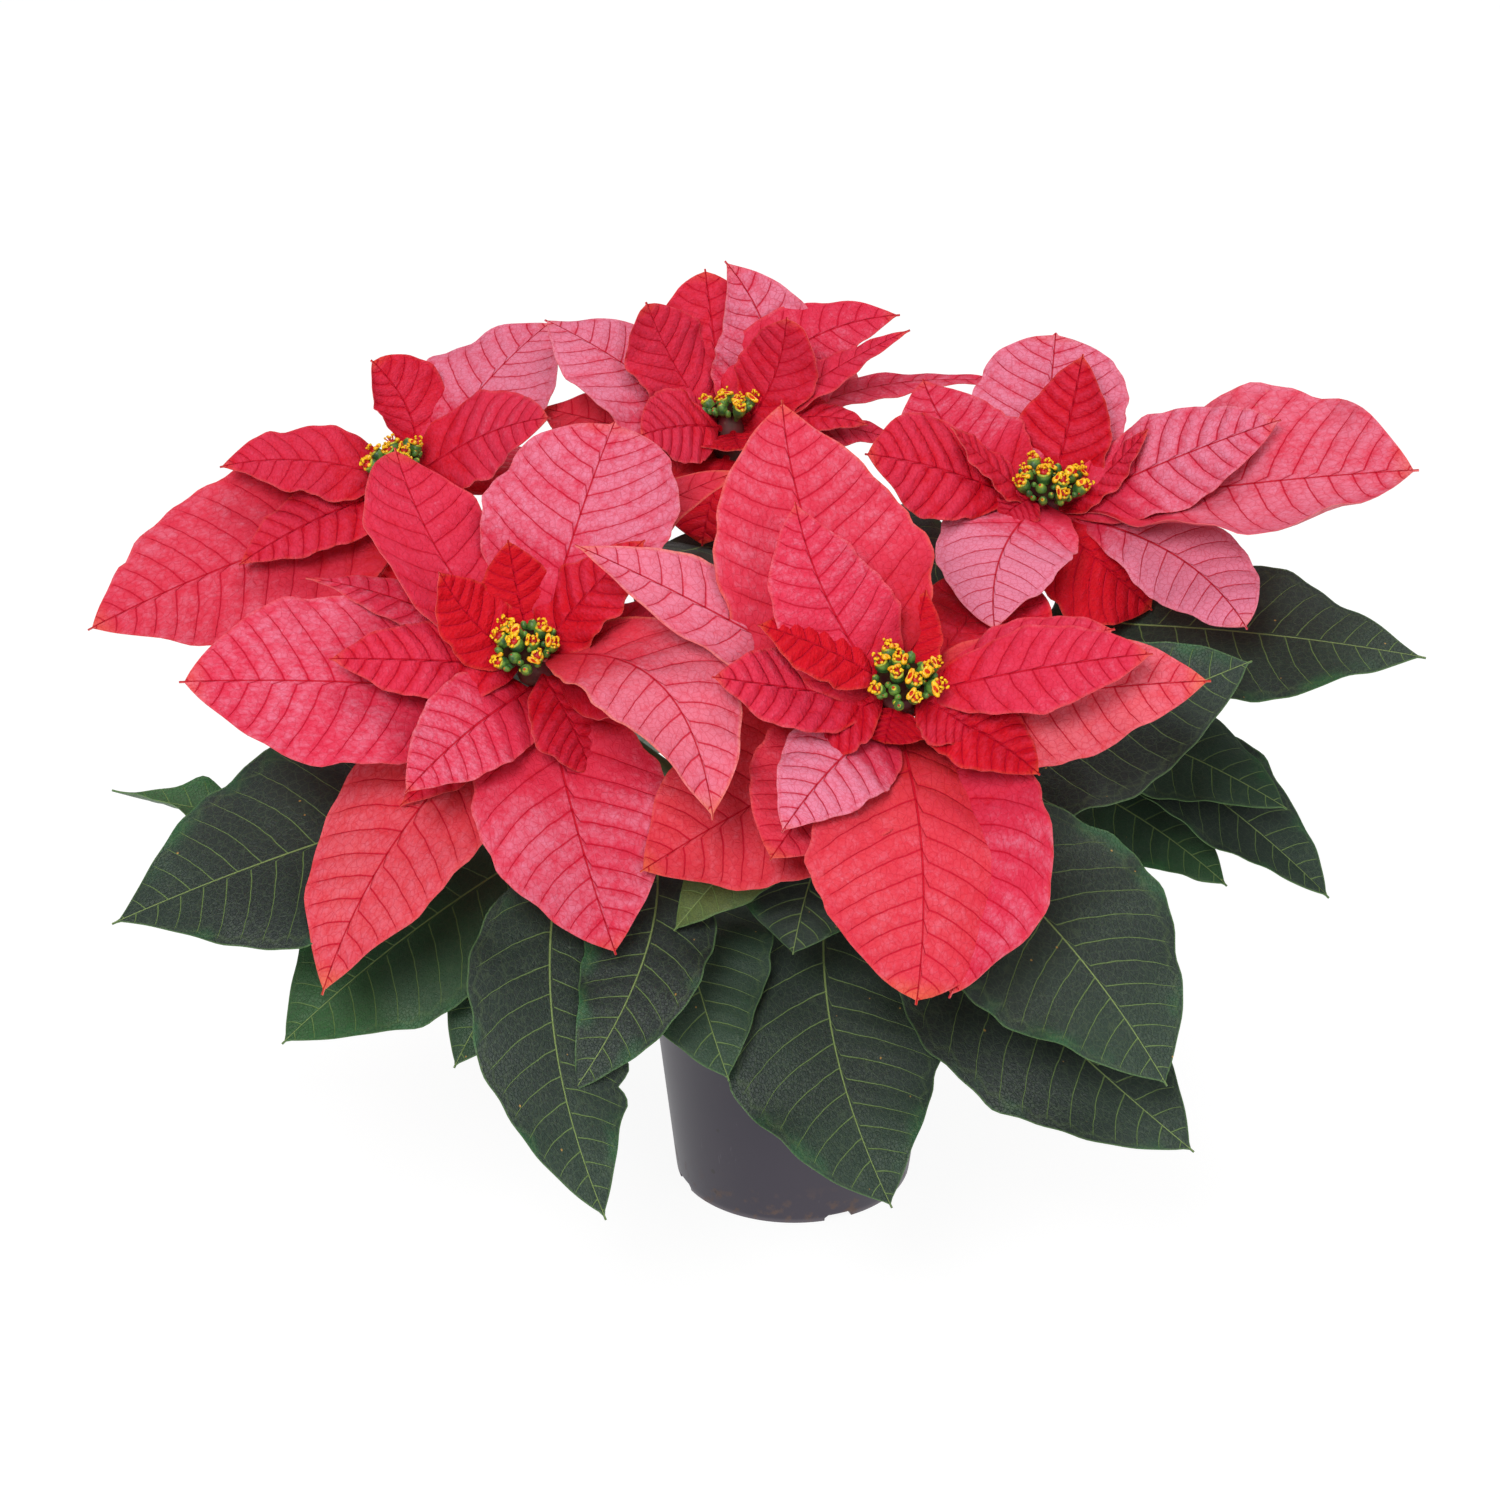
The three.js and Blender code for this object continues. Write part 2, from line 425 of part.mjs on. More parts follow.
function blade([label, drop, way, wide, roll, options], isLeaf) {
  const shape = { ...PLAIN_BLADE, ...options };
  const curve = shoots[label[0]];
  const root = curve.getPointAt(drop / curve.getLength());
  const span = way(root);
  const reach = span.length();
  const ahead = span.clone().normalize();
  const left = new THREE.Vector3(0, 0, 1).cross(ahead).normalize();
  const up = ahead.clone().cross(left);
  const rolledLeft = left.clone().multiplyScalar(Math.cos(rad(roll)));
  rolledLeft.addScaledVector(up, Math.sin(rad(roll)));
  const rib = (u) => {
    const bow = 4 * u * (1 - u);
    const point = root.clone().addScaledVector(ahead, reach * u);
    return point.addScaledVector(up, shape.arch * bow).addScaledVector(left, shape.sway * bow);
  };
  const curls = [shape.curl].flat();
  const plainStations = wide >= WIDE_BLADE ? WIDE_STATIONS : NARROW_STATIONS;
  const bladeStations = wide <= SMALL_BLADE ? SMALL_STATIONS : plainStations;
  const stalkStations = isLeaf ? LEAF_STALK_STATIONS : [0];
  const stalkShare = shape.stalk / reach;
  const stations = [
    ...stalkStations.map((s) => ({ u: s * stalkShare, t: -1 })),
    ...bladeStations.map((t) => ({ u: stalkShare + (1 - stalkShare) * t, t })),
  ];
  const upper = [];
  const lower = [];
  for (const { u, t } of stations) {
    const centre = rib(u);
    const tangent = rib(u + RIB_STEP).sub(rib(u - RIB_STEP)).normalize();
    const lateral = rolledLeft.clone().addScaledVector(tangent, -rolledLeft.dot(tangent)).normalize();
    const normal = tangent.clone().cross(lateral);
    const turnBy = rad(shape.twist * (Math.max(t, 0) - 0.5));
    const across = lateral.clone().multiplyScalar(Math.cos(turnBy));
    across.addScaledVector(normal, Math.sin(turnBy));
    const over = normal.clone().multiplyScalar(Math.cos(turnBy));
    over.addScaledVector(lateral, -Math.sin(turnBy));
    const grown = t <= 0 ? 0 : (wide / 2) * outlineShare(t, shape.belly, shape.taper);
    const half = Math.max(grown, t <= 0 ? STALK_HALF_WIDTH : POINT_HALF_WIDTH);
    const rootThickness = t < 0 ? STALK_THICKNESS : (STALK_THICKNESS + BLADE_THICKNESS) / 2;
    const thickness = t <= 0 ? rootThickness : BLADE_THICKNESS;
    for (const v of COLUMNS) {
      const share = Math.abs(v);
      const sign = Math.sign(v);
      const foldAngle = t <= 0 ? 0 : rad(shape.fold);
      const curlAngle = t <= 0 ? 0 : rad(v > 0 ? curls[0] : curls[curls.length - 1]);
      const [sideways, upward] = crossShare(share, foldAngle, curlAngle);
      const phase = v > 0 ? 0 : RIGHT_EDGE_PHASE;
      const rippleHeight = ((shape.wave * wide) / RIPPLED_WIDTH) * share ** 2;
      const ripple = rippleHeight * Math.sin(2 * Math.PI * RIPPLES * Math.max(t, 0) + phase);
      const raised = upward * half + ripple * Math.min(1, half / wide / RIPPLE_FULL_SHARE);
      const point = centre.clone().addScaledVector(across, sign * sideways * half);
      point.addScaledVector(over, raised);
      const slope = v === 0 ? 0 : foldAngle + curlAngle * share;
      const outward = over.clone().multiplyScalar(Math.cos(slope));
      outward.addScaledVector(across, -sign * Math.sin(slope));
      upper.push(point.clone().addScaledVector(outward, thickness / 2));
      lower.push(point.clone().addScaledVector(outward, -thickness / 2));
    }
  }
  return sheet(upper, lower, stations.length, COLUMNS.length);
}

// A closed thin body from two matching grids of points.
function sheet(upper, lower, rows, columns) {
  const count = rows * columns;
  const at = (i, j) => i * columns + j;
  const faces = [];
  for (let i = 0; i < rows - 1; i += 1) {
    for (let j = 0; j < columns - 1; j += 1) {
      const [a, b, c, d] = [at(i, j), at(i + 1, j), at(i + 1, j + 1), at(i, j + 1)];
      faces.push([a, b, c], [a, c, d]);
      faces.push([a + count, c + count, b + count], [a + count, d + count, c + count]);
    }
  }
  const edge = [];
  for (let i = 0; i < rows; i += 1) edge.push(at(i, 0));
  for (let j = 1; j < columns; j += 1) edge.push(at(rows - 1, j));
  for (let i = rows - 2; i >= 0; i -= 1) edge.push(at(i, columns - 1));
  for (let j = columns - 2; j > 0; j -= 1) edge.push(at(0, j));
  edge.forEach((a, k) => {
    const b = edge[(k + 1) % edge.length];
    faces.push([a, b + count, b], [a, a + count, b + count]);
  });
  return solidFrom([...upper, ...lower], faces);
}

// ---- flowers ----
// A small cup on Z, closed by a pointed tuft, with its gland drawn out as a lip on one side.
function flower(size) {
  const points = [new THREE.Vector3(0, 0, CUP_FOOT), new THREE.Vector3(0, 0, CUP_TIP)];
  const faces = [];
  for (let j = 0; j < CUP_SIDES; j += 1) {
    const angle = (j / CUP_SIDES) * Math.PI * 2;
    const rimRadius = j === 0 ? GLAND_REACH : CUP_RIM_RADIUS;
    const [x, y] = [Math.cos(angle), Math.sin(angle)];
    points.push(new THREE.Vector3(CUP_FOOT_RADIUS * x, CUP_FOOT_RADIUS * y, CUP_FOOT));
    points.push(new THREE.Vector3(rimRadius * x, rimRadius * y, CUP_RIM));
    const [a, b] = [2 + 2 * j, 2 + 2 * ((j + 1) % CUP_SIDES)];
    faces.push([0, b, a], [a, b, b + 1], [a, b + 1, a + 1], [1, a + 1, b + 1]);
  }
  return solidFrom(points, faces).scale(size);
}

// Places a solid that stands on Z with its foot at a point and its axis along a direction.
function standing(solid, point, direction, spin) {
  const turnTo = new THREE.Quaternion().setFromUnitVectors(new THREE.Vector3(0, 0, 1), direction);
  const spun = new THREE.Quaternion().setFromAxisAngle(new THREE.Vector3(0, 0, 1), spin);
  const matrix = new THREE.Matrix4().compose(
    point,
    turnTo.multiply(spun),
    new THREE.Vector3(1, 1, 1),
  );
  return solid.transform(matrix.elements);
}

function flowerCluster(key) {
  const head = heads[key];
  const curve = shoots[key];
  const axis = heading(head.turn, 90 - head.lean);
  const base = curve.getPointAt((TIP_TOP_DROP - GAP) / curve.getLength());
  const random = randomFrom(key.charCodeAt(0) * 97);
  const aside = new THREE.Vector3().crossVectors(axis, new THREE.Vector3(0, 1, 0)).normalize();
  const ahead = new THREE.Vector3().crossVectors(axis, aside);
  const foot = head.spread * CLUSTER_DISC_SHARE;
  const disc = turned(CLUSTER_DISC.map(([share, height]) => [foot * share, height]), CLUSTER_SIDES);
  const pieces = [standing(disc, base, axis, 0)];
  for (let i = 0; i < head.flowers; i += 1) {
    const radius = head.spread * Math.sqrt((i + FIRST_FLOWER) / head.flowers) * CLUSTER_REACH;
    const angle = i * rad(CLUSTER_TURN) + FLOWER_STRAY * random();
    const outward = aside.clone().multiplyScalar(Math.cos(angle));
    outward.addScaledVector(ahead, Math.sin(angle));
    const lean = FLOWER_LEAN * (radius / head.spread);
    const direction = axis.clone().addScaledVector(outward, lean).normalize();
    const point = base.clone().addScaledVector(axis, FLOWER_RISE - FLOWER_DROOP * lean);
    point.addScaledVector(outward, radius * FLOWER_OUT);
    const size = FLOWER_SIZE + FLOWER_SIZE_SPREAD * random();
    pieces.push(standing(flower(size), point, direction, random() * Math.PI * 2));
  }
  return fused(pieces);
}

// ---- pot, soil and stems ----
function potSolid() {
  const rimFoot = POT_HEIGHT - POT_RIM_DEPTH;
  const shell = turned([
    [0, 0],
    [POT_FOOT_RADIUS - POT_EDGE, 0],
    [POT_FOOT_RADIUS, POT_EDGE],
    [POT_WALL_TOP_RADIUS, rimFoot - POT_EDGE],
    [POT_RIM_RADIUS, rimFoot],
    [POT_RIM_RADIUS, POT_HEIGHT - POT_RIM_EDGE],
    [POT_RIM_RADIUS - POT_RIM_EDGE, POT_HEIGHT],
    [POT_RIM_RADIUS - POT_WALL - POT_RIM_EDGE / 2, POT_HEIGHT],
    [POT_RIM_RADIUS - POT_WALL - POT_RIM_EDGE, rimFoot + POT_RIM_STEP],
    [POT_WALL_TOP_RADIUS - POT_WALL, rimFoot + POT_RIM_STEP / 3],
    [POT_FOOT_RADIUS - POT_WALL, POT_WALL + POT_EDGE],
    [POT_FOOT_RADIUS - POT_WALL - POT_EDGE, POT_WALL],
    [0, POT_WALL],
  ], POT_SIDES);
  const slots = [];
  for (let i = 0; i < SLOT_COUNT; i += 1) {
    const slot = new THREE.BoxGeometry(SLOT_DEPTH, SLOT_WIDTH, SLOT_HEIGHT + 1);
    slot.translate(POT_FOOT_RADIUS - POT_EDGE / 2, 0, (SLOT_HEIGHT - 1) / 2);
    slot.rotateZ(rad(SLOT_FIRST_TURN + (360 / SLOT_COUNT) * i));
    slots.push(solidOf(slot));
  }
  return shell.subtract(Manifold.union(slots));
}

function soilSolid() {
  const random = randomFrom(11);
  const foot = POT_WALL + GAP;
  const wallHeight = POT_HEIGHT - POT_RIM_DEPTH - 2 * POT_EDGE;
  const slope = (POT_WALL_TOP_RADIUS - POT_FOOT_RADIUS) / wallHeight;
  const edge = POT_FOOT_RADIUS - POT_WALL - GAP * 1.5;
  const topEdge = edge + slope * (SOIL_TOP - SOIL_FOOT_EDGE) - 2 * GAP;
  const rings = [
    [edge - SOIL_FOOT_EDGE, foot], [edge - GAP, foot + SOIL_FOOT_EDGE], [topEdge, SOIL_TOP],
    ...SOIL_RING_SHARES.map((share) => [topEdge * share, SOIL_TOP]),
  ];
  const lumpyRing = rings.length - SOIL_RING_SHARES.length;
  const sides = SOIL_SIDES;
  const points = [];
  rings.forEach(([radius, height], ring) => {
    for (let j = 0; j < sides; j += 1) {
      const angle = (j / sides) * Math.PI * 2;
      const lump = ring < lumpyRing ? 0 : SOIL_LUMP * (random() * 2 - 1);
      points.push(new THREE.Vector3(radius * Math.cos(angle), radius * Math.sin(angle), height + lump));
    }
  });
  const under = points.push(new THREE.Vector3(0, 0, foot)) - 1;
  const above = points.push(new THREE.Vector3(0, 0, SOIL_TOP)) - 1;
  const faces = [];
  const last = (rings.length - 1) * sides;
  for (let j = 0; j < sides; j += 1) {
    const next = (j + 1) % sides;
    faces.push([under, next, j], [above, last + j, last + next]);
    for (let ring = 0; ring < rings.length - 1; ring += 1) {
      const a = ring * sides + j;
      const b = ring * sides + next;
      faces.push([a, b, b + sides], [a, b + sides, a + sides]);
    }
  }
  const hole = turned([
    [0, MAIN_STEM_FOOT - GAP],
    [MAIN_STEM_RADIUS + GAP * 2, MAIN_STEM_FOOT - GAP],
    [MAIN_STEM_RADIUS + GAP * 2, SOIL_TOP + HOLE_PAST_SOIL],
    [0, SOIL_TOP + HOLE_PAST_SOIL],
  ], HOLE_SIDES);
  return solidFrom(points, faces).subtract(hole);
}

function mainStemSolid(extra) {
  return turned([
    [0, MAIN_STEM_FOOT - extra],
    [MAIN_STEM_RADIUS + extra, MAIN_STEM_FOOT - extra],
    [MAIN_STEM_RADIUS - MAIN_STEM_TAPER + extra, MAIN_STEM_TOP - MAIN_STEM_CROWN],
    [MAIN_STEM_RADIUS - MAIN_STEM_CROWN / 2 + extra, MAIN_STEM_TOP + extra],
    [0, MAIN_STEM_TOP + extra],
  ], MAIN_STEM_SIDES);
}

// ---- the plant ----
const plant = new THREE.Group();
plant.name = 'potted_poinsettia';
plant.add(node('pot', potSolid(), colours.pot));
plant.add(node('soil', soilSolid(), colours.soil));
plant.add(node('main_stem', mainStemSolid(0), colours.mainStem));

for (const key of Object.keys(heads)) {
  const curve = shoots[key];
  const length = curve.getLength();
  const stem = rod(curve, TIP_FOOT_DROP + GAP, length, () => SHOOT_RADIUS, SHOOT_SIDES, SHOOT_STEPS);
  const ownLeaves = leaves.filter(([label]) => label[0] === key).map((row) => blade(row, true));
  const leafyStem = fused([stem, ...ownLeaves]).subtract(mainStemSolid(GAP * 1.5));
  plant.add(node(`leafy_stem_${key}`, fused([leafyStem]), colours.leaf));

  const tip = rod(curve, TIP_TOP_DROP, TIP_FOOT_DROP, () => TIP_RADIUS, SHOOT_SIDES, 1);
  const ownBracts = bracts.filter(([label]) => label[0] === key).map((row) => blade(row, false));
  plant.add(node(`bracts_${key}`, fused([tip, ...ownBracts]), colours.bract));

  plant.add(node(`flowers_${key}`, flowerCluster(key), colours.flower));
}

export default plant;
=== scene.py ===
import math
import bpy
import numpy as np
from mathutils import Matrix, Vector


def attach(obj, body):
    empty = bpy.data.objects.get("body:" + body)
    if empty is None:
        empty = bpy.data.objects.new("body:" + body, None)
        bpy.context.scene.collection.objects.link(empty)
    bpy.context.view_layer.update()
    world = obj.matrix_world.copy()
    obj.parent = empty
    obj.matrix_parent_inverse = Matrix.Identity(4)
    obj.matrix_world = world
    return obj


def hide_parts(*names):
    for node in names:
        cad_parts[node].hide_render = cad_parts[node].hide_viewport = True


# Potted poinsettia. Everything is worked out in millimetres, as the solids are, and
# turned into metres where a mesh is made.
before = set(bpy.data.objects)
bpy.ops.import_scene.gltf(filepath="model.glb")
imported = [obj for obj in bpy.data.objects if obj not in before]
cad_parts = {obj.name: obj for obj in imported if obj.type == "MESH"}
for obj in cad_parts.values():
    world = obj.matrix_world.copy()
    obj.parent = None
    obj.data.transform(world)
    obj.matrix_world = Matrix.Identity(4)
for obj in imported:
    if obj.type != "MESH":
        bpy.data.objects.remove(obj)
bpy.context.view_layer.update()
mm = 0.001
fullTurn = 2 * math.pi


# A Term wraps one socket, and its operators add Math nodes to the same shader.
class Term:
    def __init__(self, shader, socket):
        self.shader = shader
        self.socket = socket

    def maths(self, operation, *others):
        return self.shader.term("Math", {"operation": operation}, dict(enumerate((self, *others))), 0)

    def __add__(self, other):
        return self.maths("ADD", other)

    def __sub__(self, other):
        return self.maths("SUBTRACT", other)

    def __mul__(self, other):
        return self.maths("MULTIPLY", other)

    def __truediv__(self, other):
        return self.maths("DIVIDE", other)

    def __pow__(self, other):
        return self.maths("POWER", other)

    def __rsub__(self, other):
        return self * -1 + other

    __radd__ = __add__
    __rmul__ = __mul__

    def size(self):
        return self.maths("ABSOLUTE")

    def part(self):
        return self.maths("FRACT")

    def least(self, other):
        return self.maths("MINIMUM", other)

    # 0 below low and 1 above high, with a smooth step between them
    def step(self, low, high):
        sockets = {"Value": self, "From Min": low, "From Max": high}
        return self.shader.term("MapRange", {"interpolation_type": "SMOOTHSTEP"}, sockets, "Result")


class Shader:
    def __init__(self, name):
        self.material = bpy.data.materials.new(name)
        self.material.use_nodes = True
        self.tree = self.material.node_tree
        self.tree.nodes.clear()
        self.end = self.node("OutputMaterial", {}, {})

    # The settings go in first, then the value or link of each socket, by name or place.
    def node(self, kind, settings, sockets):
        node = self.tree.nodes.new("ShaderNode" + kind)
        for key, value in settings.items():
            setattr(node, key, value)
        for key, value in sockets.items():
            if isinstance(value, Term):
                self.tree.links.new(value.socket, node.inputs[key])
            else:
                node.inputs[key].default_value = value
        return node

    def term(self, kind, settings, sockets, output):
        return Term(self, self.node(kind, settings, sockets).outputs[output])

    def attribute(self, name):
        return self.term("Attribute", {"attribute_name": name, "attribute_type": "GEOMETRY"}, {}, "Fac")

    def vector(self, x, y, z):
        return self.term("CombineXYZ", {}, {"X": x, "Y": y, "Z": z}, "Vector")

    def axes(self, vector):
        split = self.node("SeparateXYZ", {}, {"Vector": vector})
        return [Term(self, split.outputs[axis]) for axis in "XYZ"]

    def place(self):
        return self.term("TexCoord", {}, {}, "Object")

    def noise(self, vector, scale, detail=3.0, rough=0.55):
        sockets = {"Vector": vector, "Scale": scale, "Detail": detail, "Roughness": rough}
        return self.term("TexNoise", {}, sockets, "Fac")

    # Distance to the edges of a net of cells.
    def net(self, vector, scale):
        settings = {"feature": "DISTANCE_TO_EDGE"}
        return self.term("TexVoronoi", settings, {"Vector": vector, "Scale": scale}, "Distance")

    # 1 on scattered dots and 0 around them.
    def dots(self, vector, scale, inner, outer):
        away = self.term("TexVoronoi", {"feature": "F1"}, {"Vector": vector, "Scale": scale}, "Distance")
        return 1 - away.step(inner, outer)

    def mix(self, share, first, second):
        sockets = {0: share}
        for place, value in ((6, first), (7, second)):
            sockets[place] = value if isinstance(value, Term) else (*value, 1.0)
        return self.term("Mix", {"data_type": "RGBA", "clamp_factor": True}, sockets, 2)

    # A colour with others laid over it, each with its own share.
    def layered(self, colour, *layers):
        for share, layer in layers:
            colour = self.mix(share, colour, layer)
        return colour

    def bump(self, height, strength, distance):
        sockets = {"Strength": strength, "Distance": distance, "Height": height}
        return self.term("Bump", {}, sockets, "Normal")

    def finish(self, sockets, glow=None, glowShare=0.0):
        surface = self.term("BsdfPrincipled", {}, sockets, "BSDF")
        if glow is not None:
            through = self.term("BsdfTranslucent", {}, {"Color": glow}, "BSDF")
            surface = self.term("MixShader", {}, {0: glowShare, 1: surface, 2: through}, "Shader")
        self.tree.links.new(surface.socket, self.end.inputs["Surface"])
        return self.material


# The view from the front. What shows from there is placed by where it is seen, in steps
# right of and down from the upper left corner of a square view.
view = dict(side=1500, lens=100, sensor=36, pitch=26, distance=1600, potFootSeen=(793, 1161))
viewMiddle = view["side"] / 2
viewStepsDeep = view["side"] * view["lens"] / view["sensor"]
viewPitch = math.radians(view["pitch"])
viewAhead = np.array([0, math.cos(viewPitch), -math.sin(viewPitch)])
viewAbove = np.array([0, math.sin(viewPitch), math.cos(viewPitch)])


def lineOfSight(right, down):
    line = viewAhead * viewStepsDeep + viewAbove * (viewMiddle - down)
    line[0] += right - viewMiddle
    return line


viewer = -lineOfSight(*view["potFootSeen"]) * view["distance"] / viewStepsDeep


def unit(vector):
    return vector / np.linalg.norm(vector)


def seenAtHeight(place, height):
    line = lineOfSight(*place)
    return viewer + line * (height - viewer[2]) / line[2]


# The way from a blade's root to its point, seen at a place of the view and some way
# nearer to the viewer than the root.
def seen(right, down, toward):
    line = unit(lineOfSight(right, down))
    return lambda root: viewer + line * (np.dot(root - viewer, line) - toward) - root


def heading(turn, rise):
    turn, rise = math.radians(turn), math.radians(rise)
    return np.array([math.cos(turn) * math.cos(rise), math.sin(turn) * math.cos(rise), math.sin(rise)])


# The same way for a blade hidden from the front: compass turn, rise and length.
def aimed(turn, rise, length):
    return lambda root: heading(turn, rise) * length


# The same run of numbers as the solids use for what is scattered.
def randomFrom(seed):
    state = seed
    while True:
        state = (state * 1664525 + 1013904223) % 4294967296
        yield state / 4294967296


# A Build gathers grids of points into one mesh, with a material slot for each grid and
# named numbers on its points.
class Build:
    def __init__(self, *names):
        self.names = names
        self.points = []
        self.faces = []
        self.slots = []
        self.numbers = {name: [] for name in names}
        self.count = 0

    def add(self, points, faces, slot=0, **numbers):
        points = np.asarray(points, float).reshape(-1, 3)
        self.points.append(points)
        self.faces += [tuple(int(k) + self.count for k in face) for face in faces]
        self.slots += [slot] * len(faces)
        for name in self.names:
            value = np.ravel(numbers.get(name, 0.0))
            self.numbers[name].append(np.broadcast_to(value, len(points)))
        self.count += len(points)

    def object(self, name, materials, sharp=50):
        mesh = bpy.data.meshes.new(name)
        mesh.from_pydata((np.concatenate(self.points) * mm).tolist(), [], self.faces)
        for material in materials:
            mesh.materials.append(material)
        mesh.polygons.foreach_set("material_index", self.slots)
        for key in self.names:
            layer = mesh.attributes.new(key, "FLOAT", "POINT")
            layer.data.foreach_set("value", np.concatenate(self.numbers[key]).astype(np.float32))
        mesh.shade_smooth()
        mesh.set_sharp_from_angle(angle=math.radians(sharp))
        mesh.update()
        obj = bpy.data.objects.new(name, mesh)
        bpy.context.scene.collection.objects.link(obj)
        return obj


def gridFaces(rows, columns, closed=False, flip=False):
    faces = []
    for i in range(rows - 1):
        for j in range(columns if closed else columns - 1):
            k = (j + 1) % columns
            a, b = i * columns + j, (i + 1) * columns + j
            c, d = (i + 1) * columns + k, i * columns + k
            faces.append((d, c, b, a) if flip else (a, b, c, d))
    return faces


# Rings of points one after another, closed at each end round a point of its own.
def closedRings(rings, count, sides, ends):
    points = np.concatenate([np.reshape(rings, (-1, 3)), ends])
    faces = gridFaces(count, sides, closed=True, flip=True)
    under, above = len(points) - 2, len(points) - 1
    last = (count - 1) * sides
    for j in range(sides):
        k = (j + 1) % sides
        faces += [(under, k, j), (above, last + j, last + k)]
    return points, faces


def turnedGrid(profile, sides):
    angles = np.arange(sides) * fullTurn / sides
    x, y = np.cos(angles), np.sin(angles)
    rings = [np.stack([radius * x, radius * y, np.full(sides, float(height))], axis=1)
             for radius, height in profile]
    ends = [[0, 0, profile[0][1]], [0, 0, profile[-1][1]]]
    return closedRings(rings, len(profile), sides, ends)


# A round bar along a run of points, with its own radius at each.
def barGrid(path, radii, sides):
    path = np.asarray(path, float)
    ahead = np.gradient(path, axis=0)
    ahead /= np.linalg.norm(ahead, axis=1)[:, None]
    side = np.cross(np.array([0.0, 1.0, 0.03]), ahead)
    side /= np.linalg.norm(side, axis=1)[:, None]
    other = np.cross(ahead, side)
    angles = np.arange(sides) * fullTurn / sides
    radii = np.asarray(radii)[:, None, None]
    rings = (path[:, None] + side[:, None] * (np.cos(angles)[None, :, None] * radii)
             + other[:, None] * (np.sin(angles)[None, :, None] * radii))
    return closedRings(rings, len(path), sides, [path[0], path[-1]])


# A finished piece moves with the plant and stands in for its node, whose part is hidden.
def keep(piece, node):
    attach(piece, "root")
    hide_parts(node)
    print(piece.name, len(piece.data.polygons), "faces")


# Heads: place in the view and height of the flower cluster's centre, lean from upright
# and its turn, height where the shoot leaves the main stem, flowers, cluster radius.
heads = {
    "a": dict(seen=(524, 645), height=250, lean=28, turn=232, foot=118, flowers=12, spread=17),
    "b": dict(seen=(903, 678), height=250, lean=28, turn=282, foot=126, flowers=13, spread=18),
    "c": dict(seen=(397, 455), height=265, lean=14, turn=200, foot=128, flowers=9, spread=15),
    "d": dict(seen=(729, 405), height=280, lean=8, turn=110, foot=120, flowers=8, spread=14),
    "e": dict(seen=(1050, 482), height=265, lean=12, turn=300, foot=114, flowers=13, spread=19.5),
}


# A shoot bends from the main stem up to its head along one curve with four handles.
class Shoot:
    footOut = 3
    leavingRise = 0.75
    topHandle, footHandle = 0.45, 0.3
    samples = 201

    def __init__(self, head):
        self.axis = heading(head["turn"], 90 - head["lean"])
        top = seenAtHeight(head["seen"], head["height"])
        out = unit(np.array([top[0], top[1], 0]))
        foot = out * self.footOut
        foot[2] = head["foot"]
        length = np.linalg.norm(top - foot)
        leaving = unit(out + np.array([0, 0, self.leavingRise]))
        first = top - self.axis * length * self.topHandle
        second = foot + leaving * length * self.footHandle
        t = np.linspace(0, 1, self.samples)[:, None]
        self.run = ((1 - t) ** 3 * top + 3 * (1 - t) ** 2 * t * first
                    + 3 * (1 - t) * t ** 2 * second + t ** 3 * foot)
        steps = np.linalg.norm(np.diff(self.run, axis=0), axis=1)
        self.drops = np.concatenate([[0], np.cumsum(steps)])

    def at(self, drop):
        return np.array([np.interp(drop, self.drops, self.run[:, k]) for k in range(3)])

    def bar(self, start, end, radiusAt, sides, steps):
        drops = np.linspace(start, min(end, self.drops[-1]), steps)
        return barGrid([self.at(drop) for drop in drops], [radiusAt(drop) for drop in drops], sides)


shoots = {key: Shoot(head) for key, head in heads.items()}
